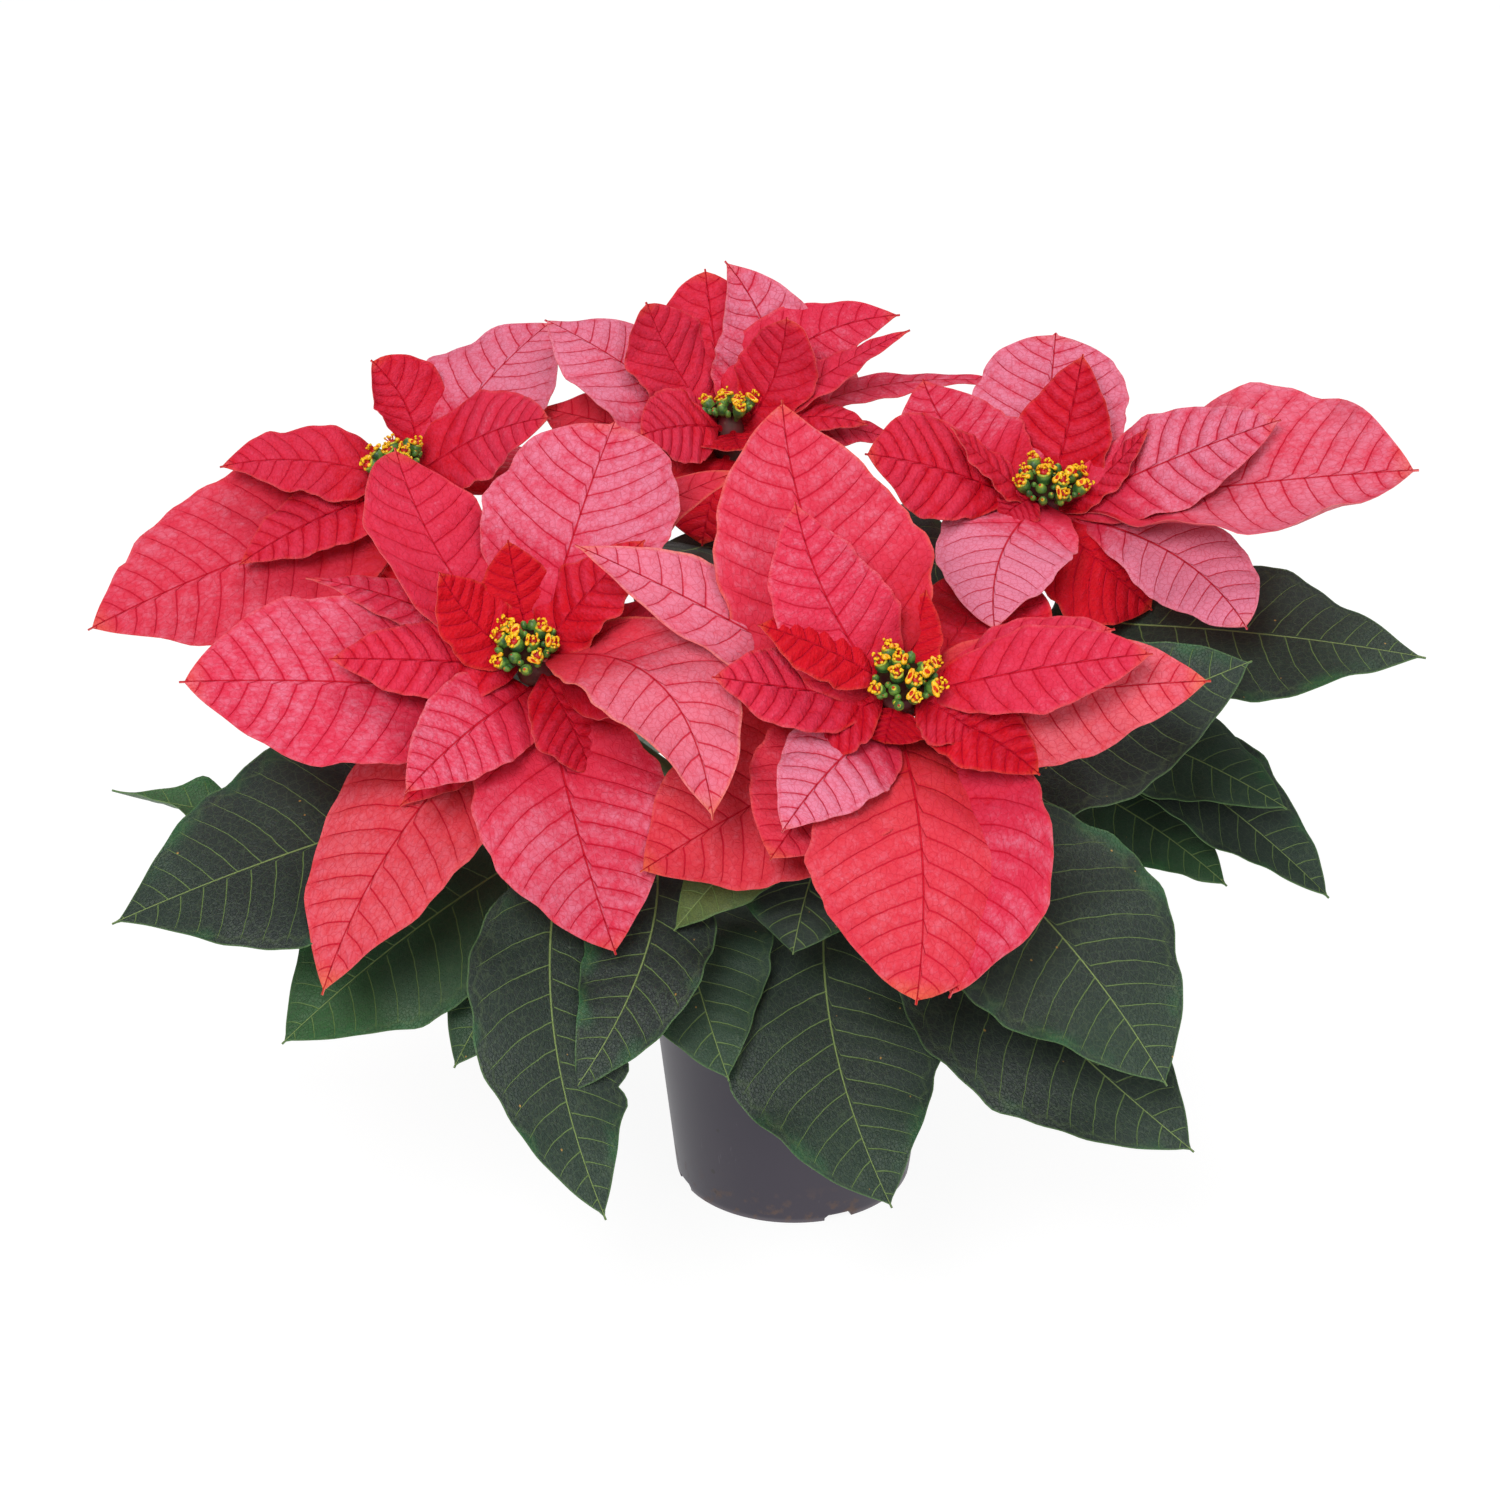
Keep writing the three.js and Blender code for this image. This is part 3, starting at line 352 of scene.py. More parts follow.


# The label's first letter names the shoot. Then: drop below the flower cluster, the way
# to the point, width, roll about that way, and what differs from the plain blade. belly
# is where it is widest and taper how its point narrows. stalk, arch, sway and wave are in
# mm, and fold, curl and twist in degrees. tone runs from deep red to pale pink (or dark to
# bright green); on bracts its pale end is partly the real pale pink and partly a painted
# sheen on faces turned up to the light. warm adds orange, rim tints the edge and quilt
# deepens the swellings between the veins and the painted shade in their valleys. A lobe
# has its place, side, depth and length.
plainBlade = dict(belly=0.38, taper=0.9, stalk=6, arch=0, sway=0, fold=0, curl=0, twist=0,
                  wave=2, tone=0.4, warm=0.1, rim=0.2, quilt=0.3, lobes=())
bracts = [
    ("a1", 12, seen(615, 422, -40), 71, 0, dict(belly=0.56, taper=0.55, stalk=10, arch=4, curl=8,
     tone=0.8)),
    ("a2", 23, seen(395, 448, -34), 52, 4, dict(belly=0.55, taper=0.75, stalk=8, arch=3, sway=11, curl=12,
     tone=0.45)),
    ("a3", 13, seen(439, 572, 8), 30, -34, dict(belly=0.45, arch=-4, tone=0.1, quilt=0.8)),
    ("a4", 12, seen(329, 659, 10), 31, -38, dict(belly=0.42, arch=1, tone=0.45, quilt=0.9)),
    ("a5", 30, seen(179, 682, 20), 66, -40, dict(belly=0.55, taper=0.85, stalk=8, arch=3, curl=8,
     tone=0.65)),
    ("a6", 14, seen(306, 578, -20), 24, -20, dict(arch=6, twist=40, tone=0.6, quilt=0.7)),
    ("a7", 20, seen(405, 793, 38), 36, -36, dict(stalk=8, arch=4, curl=10, tone=0.7, quilt=0.4)),
    ("a8", 8, seen(592, 776, 4), 36, -4, dict(belly=0.5, arch=3, tone=0.35, quilt=0.7)),
    ("a9", 24, seen(322, 995, 15), 59, -16, dict(belly=0.42, stalk=8, arch=8, sway=-8, curl=8, tone=0.7,
     warm=0.8)),
    ("a10", 20, seen(616, 955, 22), 68, 6, dict(belly=0.42, stalk=8, arch=6, sway=-4, curl=8, tone=0.7,
     warm=0.2)),
    ("a11", 22, seen(400, 806, 10), 24, -20, dict(stalk=9, tone=0.3)),
    ("a12", 12, seen(508, 540, -10), 29, 0, dict(belly=0.45, arch=-2, tone=0.05, quilt=0.8)),
    ("a13", 9, seen(645, 540, 0), 36, 10, dict(arch=2, wave=3, tone=0.3, quilt=1)),
    ("a14", 9, seen(713, 820, 50), 54, 10, dict(belly=0.42, arch=22, sway=10, curl=20, tone=0.9, warm=0.5,
     rim=0.8)),
    ("a15", 15, seen(735, 690, 5), 60, 20, dict(arch=8, tone=0.5, quilt=0.5)),
    ("a16", 20, seen(745, 470, -40), 42, 0, dict(stalk=9, arch=4, sway=20, tone=0.45, warm=0.4, rim=0.6)),
    ("b1", 14, seen(782, 400, -35), 75, -14, dict(belly=0.38, stalk=9, sway=9, curl=8, tone=0.6,
     warm=0.25, rim=0.5)),
    ("b2", 14, seen(795, 502, 0), 44, -28, dict(belly=0.38, arch=1, sway=9, tone=0.6)),
    ("b3", 9, seen(758, 625, 14), 28, -30, dict(belly=0.5, arch=3, tone=0.1, quilt=1)),
    ("b4", 14, seen(712, 677, 24), 32, -40, dict(belly=0.48, tone=0.5, quilt=1)),
    ("b5", 8, seen(800, 744, 4), 28, -30, dict(belly=0.55, taper=0.7, arch=2, tone=0.35, quilt=0.8)),
    ("b6", 9, seen(885, 744, 5), 28, 0, dict(belly=0.55, taper=0.6, arch=2, tone=0.2, quilt=0.8)),
    ("b7", 8, seen(977, 735, 6), 28, 25, dict(belly=0.55, taper=0.7, arch=2, tone=0.3, quilt=0.7)),
    ("b8", 12, seen(1040, 775, 12), 30, 30, dict(belly=0.45, arch=4, tone=0.2, quilt=0.8)),
    ("b9", 24, seen(782, 832, 42), 38, -24, dict(stalk=7, arch=5, tone=0.95, quilt=0.5)),
    ("b10", 27, seen(770, 860, 36), 56, -22, dict(belly=0.42, stalk=8, arch=4, tone=0.5, warm=0.4)),
    ("b11", 22, seen(916, 1005, 36), 78, -4, dict(belly=0.5, taper=0.75, stalk=8, arch=8, sway=5,
     curl=(-30, 8), tone=0.58, warm=0.6)),
    ("b12", 26, seen(949, 998, 34), 60, 30, dict(belly=0.48, taper=0.8, stalk=8, arch=6, sway=17, curl=14,
     wave=4, tone=0.6)),
    ("b13", 12, seen(1153, 654, 15), 34, 34, dict(belly=0.52, arch=2, tone=0.5, quilt=0.5)),
    ("b14", 22, seen(1211, 681, 10), 54, 42, dict(belly=0.38, stalk=8, arch=2, tone=0.8, warm=0.8)),
    ("b15", 16, seen(1115, 629, 0), 30, 24, dict(belly=0.55, stalk=8, arch=3, tone=0.5, quilt=0.6)),
    ("b16", 26, seen(1014, 566, -100), 64, 0, dict(belly=0.5, arch=2, tone=0.2)),
    ("b17", 10, seen(926, 590, -15), 20, 0, dict(arch=-2, tone=0.05)),
    ("b18", 24, seen(575, 545, 10), 40, -36, dict(stalk=8, arch=3, curl=(30, 10), tone=0.9, warm=0.3,
     rim=0.8)),
    ("b19", 34, seen(640, 872, 10), 72, -34, dict(stalk=8, arch=2, curl=8, tone=0.55, warm=0.7)),
    ("c1", 14, seen(371, 360, -15), 36, 0, dict(belly=0.6, taper=0.7, arch=-3, sway=-10, curl=(60, 10),
     tone=0.35)),
    ("c2", 16, seen(552, 322, -32), 64, 0, dict(belly=0.45, taper=0.75, stalk=8, arch=6, tone=0.9)),
    ("c3", 12, seen(550, 418, 26), 42, 34, dict(arch=3, sway=6, tone=0.5, quilt=0.5)),
    ("c4", 13, seen(220, 467, 5), 40, -20, dict(arch=4, sway=-5, tone=0.4)),
    ("c5", 22, seen(88, 630, 20), 70, -38, dict(belly=0.4, stalk=8, arch=3, sway=-3, tone=0.6, warm=0.3,
     lobes=((0.80, -1, -0.12, 0.025),))),
    ("c6", 14, seen(239, 565, 18), 30, -30, dict(arch=4, tone=0.4, quilt=0.8)),
    ("c7", 26, seen(262, 604, 5), 38, -42, dict(stalk=9, arch=6, tone=0.75, warm=0.5)),
    ("c8", 12, seen(372, 597, -5), 50, -10, dict(arch=4, tone=0.05, quilt=0.8)),
    ("c9", 20, aimed(105, -15, 85), 50, 0, dict(stalk=9, arch=8)),
    ("c10", 24, aimed(65, -5, 90), 46, 0, dict(stalk=9, arch=8)),
    ("d1", 15, seen(646, 302, -4), 48, 0, dict(belly=0.6, taper=0.65, arch=-4, tone=0.4)),
    ("d2", 18, seen(545, 320, -14), 60, -10, dict(belly=0.38, stalk=9, arch=8, sway=7, tone=0.9)),
    ("d3", 20, seen(705, 269, -35), 48, 0, dict(belly=0.5, taper=0.7, stalk=8, arch=-2, tone=0.35)),
    ("d4", 22, seen(725, 261, -34), 48, 0, dict(arch=-3, sway=-16, curl=(40, 5), tone=0.85)),
    ("d5", 14, seen(787, 317, 0), 38, 10, dict(belly=0.55, taper=0.7, arch=-4, sway=-3, tone=0.35)),
    ("d6", 14, seen(900, 315, -30), 38, 30, dict(stalk=8, arch=8, sway=12, tone=0.55)),
    ("d7", 15, seen(910, 330, 0), 22, 10, dict(arch=3, tone=0.45)),
    ("d8", 18, seen(1016, 384, -30), 24, 0, dict(stalk=9, arch=6, sway=14, tone=0.6)),
    ("d9", 10, seen(640, 436, 26), 32, -44, dict(belly=0.5, arch=3, tone=0.5, quilt=0.8)),
    ("d10", 8, seen(740, 450, 14), 38, 0, dict(belly=0.5, tone=0.2, quilt=0.8)),
    ("d11", 14, seen(868, 425, 15), 30, 10, dict(arch=6, tone=0.35, quilt=0.7)),
    ("d12", 12, seen(898, 441, 0), 30, 10, dict(arch=5, tone=0.5, quilt=0.6)),
    ("d13", 17, seen(702, 546, 24), 54, 0, dict(stalk=8, arch=6, tone=0.15, quilt=0.5)),
    ("d14", 24, seen(539, 408, -10), 50, -20, dict(stalk=4, arch=6, sway=8, tone=0.5, warm=0.5)),
    ("d15", 24, aimed(60, 5, 95), 42, 0, dict(stalk=10, arch=8)),
    ("d16", 24, aimed(110, 0, 90), 40, 0, dict(stalk=10, arch=8)),
    ("e1", 13, seen(1419, 470, 15), 78, 40, dict(belly=0.6, stalk=8, arch=2, curl=(4, 70), wave=3.5,
     tone=0.8, warm=0.3, lobes=((0.22, -1, 0.14, 0.07), (0.45, -1, -0.07, 0.06)))),
    ("e2", 16, seen(1281, 420, 12), 42, 36, dict(belly=0.5, arch=2, tone=0.85, quilt=0.7)),
    ("e3", 13, seen(1247, 629, 44), 38, 28, dict(belly=0.6, taper=0.75, stalk=7, arch=4, sway=12,
     tone=1.25)),
    ("e4", 8, seen(995, 631, 60), 50, -4, dict(stalk=3, belly=0.38, arch=4, sway=-7, tone=1.1)),
    ("e5", 7, seen(1002, 519, 12), 22, -20, dict(belly=0.5, arch=3, tone=0.4, quilt=0.6)),
    ("e6", 14, seen(865, 454, 26), 46, -36, dict(belly=0.62, stalk=7, arch=4, tone=0.4, quilt=1)),
    ("e7", 12, seen(951, 427, 14), 24, -10, dict(arch=-1, tone=0.35, quilt=0.5)),
    ("e8", 14, seen(923, 379, -26), 48, -25, dict(taper=0.85, stalk=8, arch=1, sway=10, tone=0.6)),
    ("e9", 16, seen(1083, 354, -17), 40, 0, dict(arch=-4, curl=30, tone=0.3, quilt=0.8)),
    ("e10", 20, seen(1056, 333, -38), 58, 0, dict(belly=0.56, taper=0.55, stalk=9, arch=4, tone=0.9)),
    ("e11", 15, seen(1148, 429, 5), 24, 10, dict(arch=-3, tone=0.4, quilt=0.7)),
    ("e12", 12, seen(1092, 613, 2), 38, 20, dict(arch=4, wave=4, tone=0.2, quilt=1)),
    ("e13", 15, seen(1152, 610, 4), 52, 28, dict(belly=0.45, stalk=8, arch=6, sway=-8, tone=0.1,
     quilt=0.7)),
    ("e14", 14, seen(1217, 525, -10), 26, 20, dict(stalk=8, arch=5, tone=0.1)),
    ("e15", 24, aimed(40, 5, 90), 46, 0, dict(stalk=10, arch=8)),
    ("e16", 24, aimed(110, 0, 80), 38, 0, dict(stalk=10, arch=8)),
]
leaves = [
    ("a1", 70, seen(112, 924, 20), 80, -32, dict(belly=0.4, taper=1.15, stalk=60, arch=6, tone=0.1)),
    ("a2", 90, seen(282, 1044, 20), 72, -26, dict(belly=0.45, stalk=30, arch=8, tone=0.7)),
    ("a3", 110, seen(454, 1068, 40), 50, -20, dict(stalk=40, arch=14, tone=0.5)),
    ("a4", 64, seen(606, 1220, 55), 57, -10, dict(belly=0.38, stalk=50, arch=12, sway=-18, tone=0.2,
     lobes=((0.66, 1, -0.14, 0.02), (0.57, 1, -0.07, 0.015), (0.72, 1, 0.05, 0.02)))),
    ("a5", 115, seen(729, 1081, 65), 62, 0, dict(belly=0.38, stalk=26, arch=16, sway=-8, tone=0.45)),
    ("a6", 120, aimed(165, -30, 140), 66, 0, dict(stalk=40, arch=12)),
    ("a7", 62, seen(112, 790, -26), 38, 6, dict(stalk=60, arch=-14, sway=6, curl=30, wave=6, tone=0.75)),
    ("a8", 84, seen(572, 1094, 66), 44, -4, dict(stalk=40, arch=14, sway=20, tone=0.05)),
    ("b2", 90, aimed(250, -20, 68), 66, 0, dict(stalk=20, arch=14, tone=0.05)),
    ("b3", 42, seen(674, 931, 5), 36, -30, dict(stalk=20, arch=6, tone=1.1, warm=0.4)),
    ("b4", 110, seen(892, 1208, 50), 84, 2, dict(belly=0.38, stalk=30, arch=10, sway=-14, tone=0.2)),
    ("b5", 90, seen(1194, 1152, 35), 74, 30, dict(belly=0.4, stalk=40, arch=2, sway=-8, tone=0.1)),
    ("b6", 60, seen(1167, 1086, 40), 80, 24, dict(belly=0.4, stalk=34, arch=8, sway=5, tone=0.2)),
    ("b7", 88, seen(1252, 661, 0), 62, 40, dict(belly=0.42, stalk=36, arch=2, sway=-6, curl=(20, 0),
     tone=0.05)),
    ("c2", 62, aimed(300, -10, 95), 56, 0, dict(stalk=30, arch=8)),
    ("c3", 80, aimed(150, -25, 150), 70, 0, dict(stalk=42, arch=14)),
    ("c4", 104, aimed(110, -25, 150), 66, 0, dict(stalk=40, arch=12)),
    ("d1", 58, aimed(240, 13, 95), 60, 0, dict(stalk=30, arch=8, tone=0.05)),
    ("d2", 72, aimed(100, -20, 150), 72, 0, dict(stalk=42, arch=14)),
    ("d3", 92, aimed(60, -20, 150), 66, 0, dict(stalk=40, arch=12)),
    ("d4", 112, aimed(130, -40, 140), 62, 0, dict(stalk=40, arch=12)),
    ("d5", 46, aimed(332, -3, 104), 74, 0, dict(stalk=16, arch=8, tone=0.1)),
    ("d6", 40, aimed(262, -30, 84), 66, 0, dict(stalk=12, arch=8, tone=0.1)),
    ("e1", 60, seen(1426, 658, 25), 68, 22, dict(belly=0.4, taper=1.15, sway=-8, stalk=40, arch=8,
     tone=0.15)),
    ("e2", 90, seen(1287, 809, 25), 50, 20, dict(belly=0.38, stalk=34, arch=8, tone=0.4)),
    ("e3", 110, seen(1227, 886, 15), 44, 20, dict(stalk=40, arch=10, tone=0.6)),
    ("e4", 80, seen(1329, 898, 5), 50, 20, dict(stalk=50, arch=10, fold=15, tone=0.15)),
    ("e5", 78, aimed(200, 14, 84), 54, 0, dict(stalk=26, arch=8, tone=0.05)),
    ("e6", 70, aimed(40, -20, 150), 70, 0, dict(stalk=42, arch=14)),
    ("e7", 96, aimed(75, -30, 145), 66, 0, dict(stalk=40, arch=12)),
    ("e8", 64, seen(1200, 655, 22), 28, 20, dict(stalk=16, arch=8, curl=(60, 20), wave=5, tone=0.5)),
]


bladeNumbers = ("along", "aside", "acrossMm", "edgeMm", "vein", "gapMm", "tone", "warm", "rimTint",
                "quilt", "under", "seed")
# Seeds set the noise of neighbouring blades this many steps apart.
seedSpacing = 50


# Half width along a blade as a share of its widest, from its stalk at 0 to its point at 1.
def outlineShare(t, belly, taper):
    pointAt = 0.985
    root = taper * belly / (1 - belly)
    widest = belly ** root * (1 - belly) ** taper
    body = np.minimum(1, t / pointAt)
    return body ** root * (1 - body) ** taper / widest


# How far sideways and up an arc gets that leaves at the fold angle and turns by the curl.
def crossShare(v, fold, curl):
    straight = 1e-4
    curl = np.where(np.abs(curl) < straight, straight, curl)
    end = fold + curl * v
    return (np.sin(end) - np.sin(fold)) / curl, (np.cos(fold) - np.cos(end)) / curl


def wavesAlong(count, along, shift):
    return np.sin(fullTurn * count * along + shift)


def spread(vectors, amounts):
    return vectors[:, None, :] * amounts[:, :, None]


# One blade as two sheets joined round their edge. Grids of numbers tell how far each point
# is along it, from 0 at its root to 1 at its tip, and aside, from -1 at the right edge to 1
# at the left one.
class Blade:
    stalkSteps = 5
    evenRows = 0.65
    ribCrowding = 1.35
    leastHalf = 0.35
    bladeStart = 0.1
    # share of the half width, waves along the blade, shift by seed and by side
    unevenEdge = ((0.022, 4.3, 9, 1), (0.012, 9.1, 23, -1))
    ripples = 2.5
    rippledWidth = 60
    rightPhase = 2.1
    smallRipple = dict(share=0.22, count=6.3, bySeed=17)
    veinCount, veinEvery, veinCrowding = 5, 17, 1.3
    veinAhead = (0.34, 0.26)
    rightVeins = 0.45
    leastStart = 0.06
    veinGap = 0.8
    reliefMm = 0.35
    quiltRelief = 1.5
    reliefHalf = 12
    sheetMm = 0.5
    ribMm = 1.5
    ribThinning = 0.85
    ribWideMm = (1.1, 0.7)
    stalkMm = (1.3, 2.2)
    roundLeast = 0.02

    def __init__(self, row, rows, halfColumns, seed):
        label, drop, way, wide, roll, extra = row
        shape = self.shape = {**plainBlade, **extra}
        self.seed = seed
        root = shoots[label[0]].at(drop)
        span = way(root)
        reach = np.linalg.norm(span)
        length = reach - shape["stalk"]
        t, v = self.spacing(rows, halfColumns)
        self.rows, self.columns = len(t), len(v)
        centre, across, over = self.spine(root, span / reach, reach, math.radians(roll), t)

        along, aside = np.meshgrid(np.clip(t, 0, 1), v, indexing="ij")
        share = np.abs(aside)
        stalk = (t < 0)[:, None] & np.ones_like(along, bool)
        onBlade = np.clip(along / self.bladeStart, 0, 1) * ~stalk
        half = self.halfWidths(wide, t, along, aside, onBlade)
        curls = np.radians(np.ravel(shape["curl"]))
        curl = np.where(aside > 0, curls[0], curls[-1]) * onBlade
        fold = math.radians(shape["fold"]) * onBlade
        sideways, upward = crossShare(share, fold, curl)
        raised = upward * half + self.ripple(wide, along, aside) * np.minimum(1, half * 3 / wide) * ~stalk
        vein, gap = self.veins(length, half, along, aside)
        puff = (0.5 - 0.5 * np.cos(fullTurn * (vein - 0.5))) * np.minimum(1, 4 * share) * (1 - share ** 6)
        relief = self.reliefMm * (1 + self.quiltRelief * shape["quilt"])
        raised += relief * puff * onBlade * np.minimum(1, half / self.reliefHalf)

        middle = centre[:, None, :] + spread(across, np.sign(aside) * sideways * half)
        middle = middle + spread(over, raised)
        slope = fold + curl * share
        outward = spread(over, np.cos(slope)) - spread(across, np.sign(aside) * np.sin(slope))
        above, below = self.thickness(share * half, along, aside, onBlade)
        self.upper = middle + outward * above[:, :, None]
        self.lower = middle - outward * below[:, :, None]
        self.numbers = dict(
            along=along, aside=aside, acrossMm=share * half * np.sign(aside) + seed * seedSpacing,
            edgeMm=(1 - share) * half + 20 * (1 - onBlade), vein=vein, gapMm=gap, tone=shape["tone"],
            warm=shape["warm"], rimTint=shape["rim"], quilt=shape["quilt"], seed=seed,
        )

    # Rows crowd a little at both ends, and columns at the midrib. -1 marks the stalk.
    def spacing(self, rows, halfColumns):
        even = np.linspace(0, 1, rows)
        t = self.evenRows * even + (1 - self.evenRows) * (0.5 - 0.5 * np.cos(math.pi * even))
        near = np.linspace(0, 1, halfColumns + 1) ** self.ribCrowding
        return np.concatenate([np.full(self.stalkSteps, -1.0), t]), np.concatenate([-near[:0:-1], near])

    # The bowed middle line, and the ways across the blade and out of its face.
    def spine(self, root, ahead, reach, roll, t):
        shape = self.shape
        left = unit(np.cross([0, 0, 1], ahead))
        up = np.cross(ahead, left)
        rolledLeft = left * math.cos(roll) + up * math.sin(roll)
        stalkShare = shape["stalk"] / reach
        u = np.concatenate([
            np.linspace(0, stalkShare, self.stalkSteps, endpoint=False),
            stalkShare + (1 - stalkShare) * t[self.stalkSteps:],
        ])
        bend = up * shape["arch"] + left * shape["sway"]
        centre = root + np.outer(reach * u, ahead) + np.outer(4 * u * (1 - u), bend)
        tangent = ahead * reach + np.outer(4 * (1 - 2 * u), bend)
        tangent /= np.linalg.norm(tangent, axis=1)[:, None]
        lateral = rolledLeft - tangent * (tangent @ rolledLeft)[:, None]
        lateral /= np.linalg.norm(lateral, axis=1)[:, None]
        normal = np.cross(tangent, lateral)
        turnBy = np.radians(shape["twist"] * (np.clip(t, 0, 1) - 0.5))[:, None]
        across = lateral * np.cos(turnBy) + normal * np.sin(turnBy)
        return centre, across, normal * np.cos(turnBy) - lateral * np.sin(turnBy)

    def halfWidths(self, wide, t, along, aside, onBlade):
        shape = self.shape
        grown = wide / 2 * outlineShare(np.clip(t, 0, 1), shape["belly"], shape["taper"])
        half = np.repeat(np.maximum(np.where(t < 0, 0, grown), self.leastHalf)[:, None], self.columns, 1)
        uneven = 0
        for share, count, bySeed, bySide in self.unevenEdge:
            shift = self.seed * bySeed + bySide * np.sign(aside)
            uneven = uneven + share * wavesAlong(count, along, shift)
        half = half * (1 + uneven * np.abs(aside))
        for at, side, depth, long in shape["lobes"]:
            half = half * (1 + depth * np.exp(-((along - at) / long) ** 2) * (np.sign(aside) == side))
        return np.maximum(half, self.stalkMm[0] * (1 - onBlade))

    # Waves of the edge, growing outward: a few long ones and many small ones.
    def ripple(self, wide, along, aside):
        share, phase = np.abs(aside), np.where(aside > 0, 0, self.rightPhase)
        wave, small = self.shape["wave"], self.smallRipple
        long = wave * wide / self.rippledWidth * share ** 2 * wavesAlong(self.ripples, along, phase)
        short = wavesAlong(small["count"], along, self.seed * small["bySeed"] + phase)
        return long + small["share"] * wave * share ** 3 * short

    # The count of side veins up to each point, in fractions, and the way between two.
    def veins(self, length, half, along, aside):
        acrossMm = np.abs(aside) * half
        first, second = self.veinAhead
        forward = first * acrossMm + second * acrossMm ** 2 / np.maximum(half, 1)
        start = np.clip((along * length - forward) / length, -0.3, 1)
        count, crowd = self.veinCount + length / self.veinEvery, self.veinCrowding
        vein = (count * np.sign(start) * np.abs(start) ** crowd
                + np.where(aside > 0, 0.0, self.rightVeins) + self.seed)
        steep = np.maximum(np.abs(start), self.leastStart) ** (crowd - 1)
        return vein, length / (count * crowd * steep) * self.veinGap

    # From the middle of the sheet up and down. The midrib stands out underneath.
    def thickness(self, acrossMm, along, aside, onBlade):
        sheet = self.sheetMm / 2 * (1 - 0.5 * np.abs(aside) ** 8)
        wide, thinning = self.ribWideMm
        nearRib = np.exp(-(acrossMm / (wide - thinning * along)) ** 2)
        rib = self.ribMm * (1 - self.ribThinning * along) * nearRib
        stem = self.stalkMm[1] / 2 * np.sqrt(np.clip(1 - aside ** 2, self.roundLeast, 1))
        return sheet * onBlade + stem * (1 - onBlade), (sheet + rib) * onBlade + stem * (1 - onBlade)

    def addTo(self, build):
        build.add(self.upper, gridFaces(self.rows, self.columns), under=0.0, **self.numbers)
        build.add(self.lower, gridFaces(self.rows, self.columns, flip=True), under=1.0, **self.numbers)
        edge = ([(i, 0) for i in range(self.rows)]
                + [(self.rows - 1, j) for j in range(1, self.columns)]
                + [(i, self.columns - 1) for i in range(self.rows - 2, -1, -1)]
                + [(0, j) for j in range(self.columns - 2, 0, -1)])
        rows, columns = np.array(edge).T
        rim = np.concatenate([self.upper[rows, columns], self.lower[rows, columns]])
        count = len(edge)
        sides = [(k, k + count, (k + 1) % count + count, (k + 1) % count) for k in range(count)]
        values = {}
        for name, value in self.numbers.items():
            picked = value[rows, columns] if np.ndim(value) else np.full(count, value)
            values[name] = np.concatenate([picked, picked])
        build.add(rim, sides, under=0.5, **values)


# Masks that bracts and leaves share: midrib, side veins with loops, and the fine nets.
veinLook = dict(wanderScale=0.09, wander=0.22, sideHalf=0.40, sideThinning=0.22, valleyMm=2.6,
                loopAt=0.84, loopBow=0.16, loopSharp=2.2, ribHalf=0.70, ribThinning=0.45,
                netScale=0.42, meshScale=0.95, puckerScale=0.30, lengthScale=90, seedScale=31)


def veinMasks(shader, ribWide=1.0, veinWide=1.0):
    look = veinLook
    along, aside = shader.attribute("along"), shader.attribute("aside").size()
    gap, seed = shader.attribute("gapMm"), shader.attribute("seed")
    across = shader.attribute("acrossMm")
    where = shader.vector(along * look["lengthScale"], across, seed * look["seedScale"])
    wander = (shader.noise(where, look["wanderScale"], 2.0) - 0.5) * look["wander"]
    offVein = ((shader.attribute("vein") + wander).part() - 0.5).size()
    thin = (look["sideHalf"] - aside * look["sideThinning"]) * veinWide
    side = (1 - (offVein * gap).step(thin * 0.25, thin)) * (1 - aside.step(0.82, 0.95))
    valley = 1 - (offVein * gap / look["valleyMm"]).least(1.0) ** 0.6
    bowed = look["loopAt"] + offVein * look["loopBow"]
    loop = 1 - ((aside - bowed).size() * gap * look["loopSharp"]).step(0.1, 0.6)
    ribHalf = (look["ribHalf"] - along * look["ribThinning"]) * ribWide
    rib = 1 - (across - seed * seedSpacing).size().step(ribHalf * 0.45, ribHalf)
    net = 1 - shader.net(where, look["netScale"]).step(0.0, 0.09)
    mesh = 1 - shader.net(where, look["meshScale"]).step(0.0, 0.1)
    pucker = shader.noise(where, look["puckerScale"], 2.0, 0.5)
    return dict(along=along, where=where, side=side, loop=loop, rib=rib, net=net, mesh=mesh,
                valley=valley, pucker=pucker, blotch=shader.noise(where, 0.05))


bractLook = dict(
    deep=(0.63, 0.001, 0.012), middle=(0.73, 0.034, 0.088), pale=(0.80, 0.25, 0.38),
    warm=(0.80, 0.075, 0.055), rim=(0.86, 0.27, 0.13), point=(0.86, 0.22, 0.06),
    # root is the colour of the painted shade at the bract roots.
    vein=(0.66, 0.006, 0.032), rib=(0.60, 0.003, 0.020), root=(0.30, 0.001, 0.005),
    back=(0.80, 0.20, 0.20), edge=(0.84, 0.16, 0.17),
    netShare=0.3, meshShare=0.2, loopShare=0.2, sideShare=0.85, ribShare=0.9, rootShadeShare=0.75,
    fineScale=0.9, rough=0.44, specular=0.08, glowShare=0.1, bump=1.0, bumpDeep=0.0012,
)


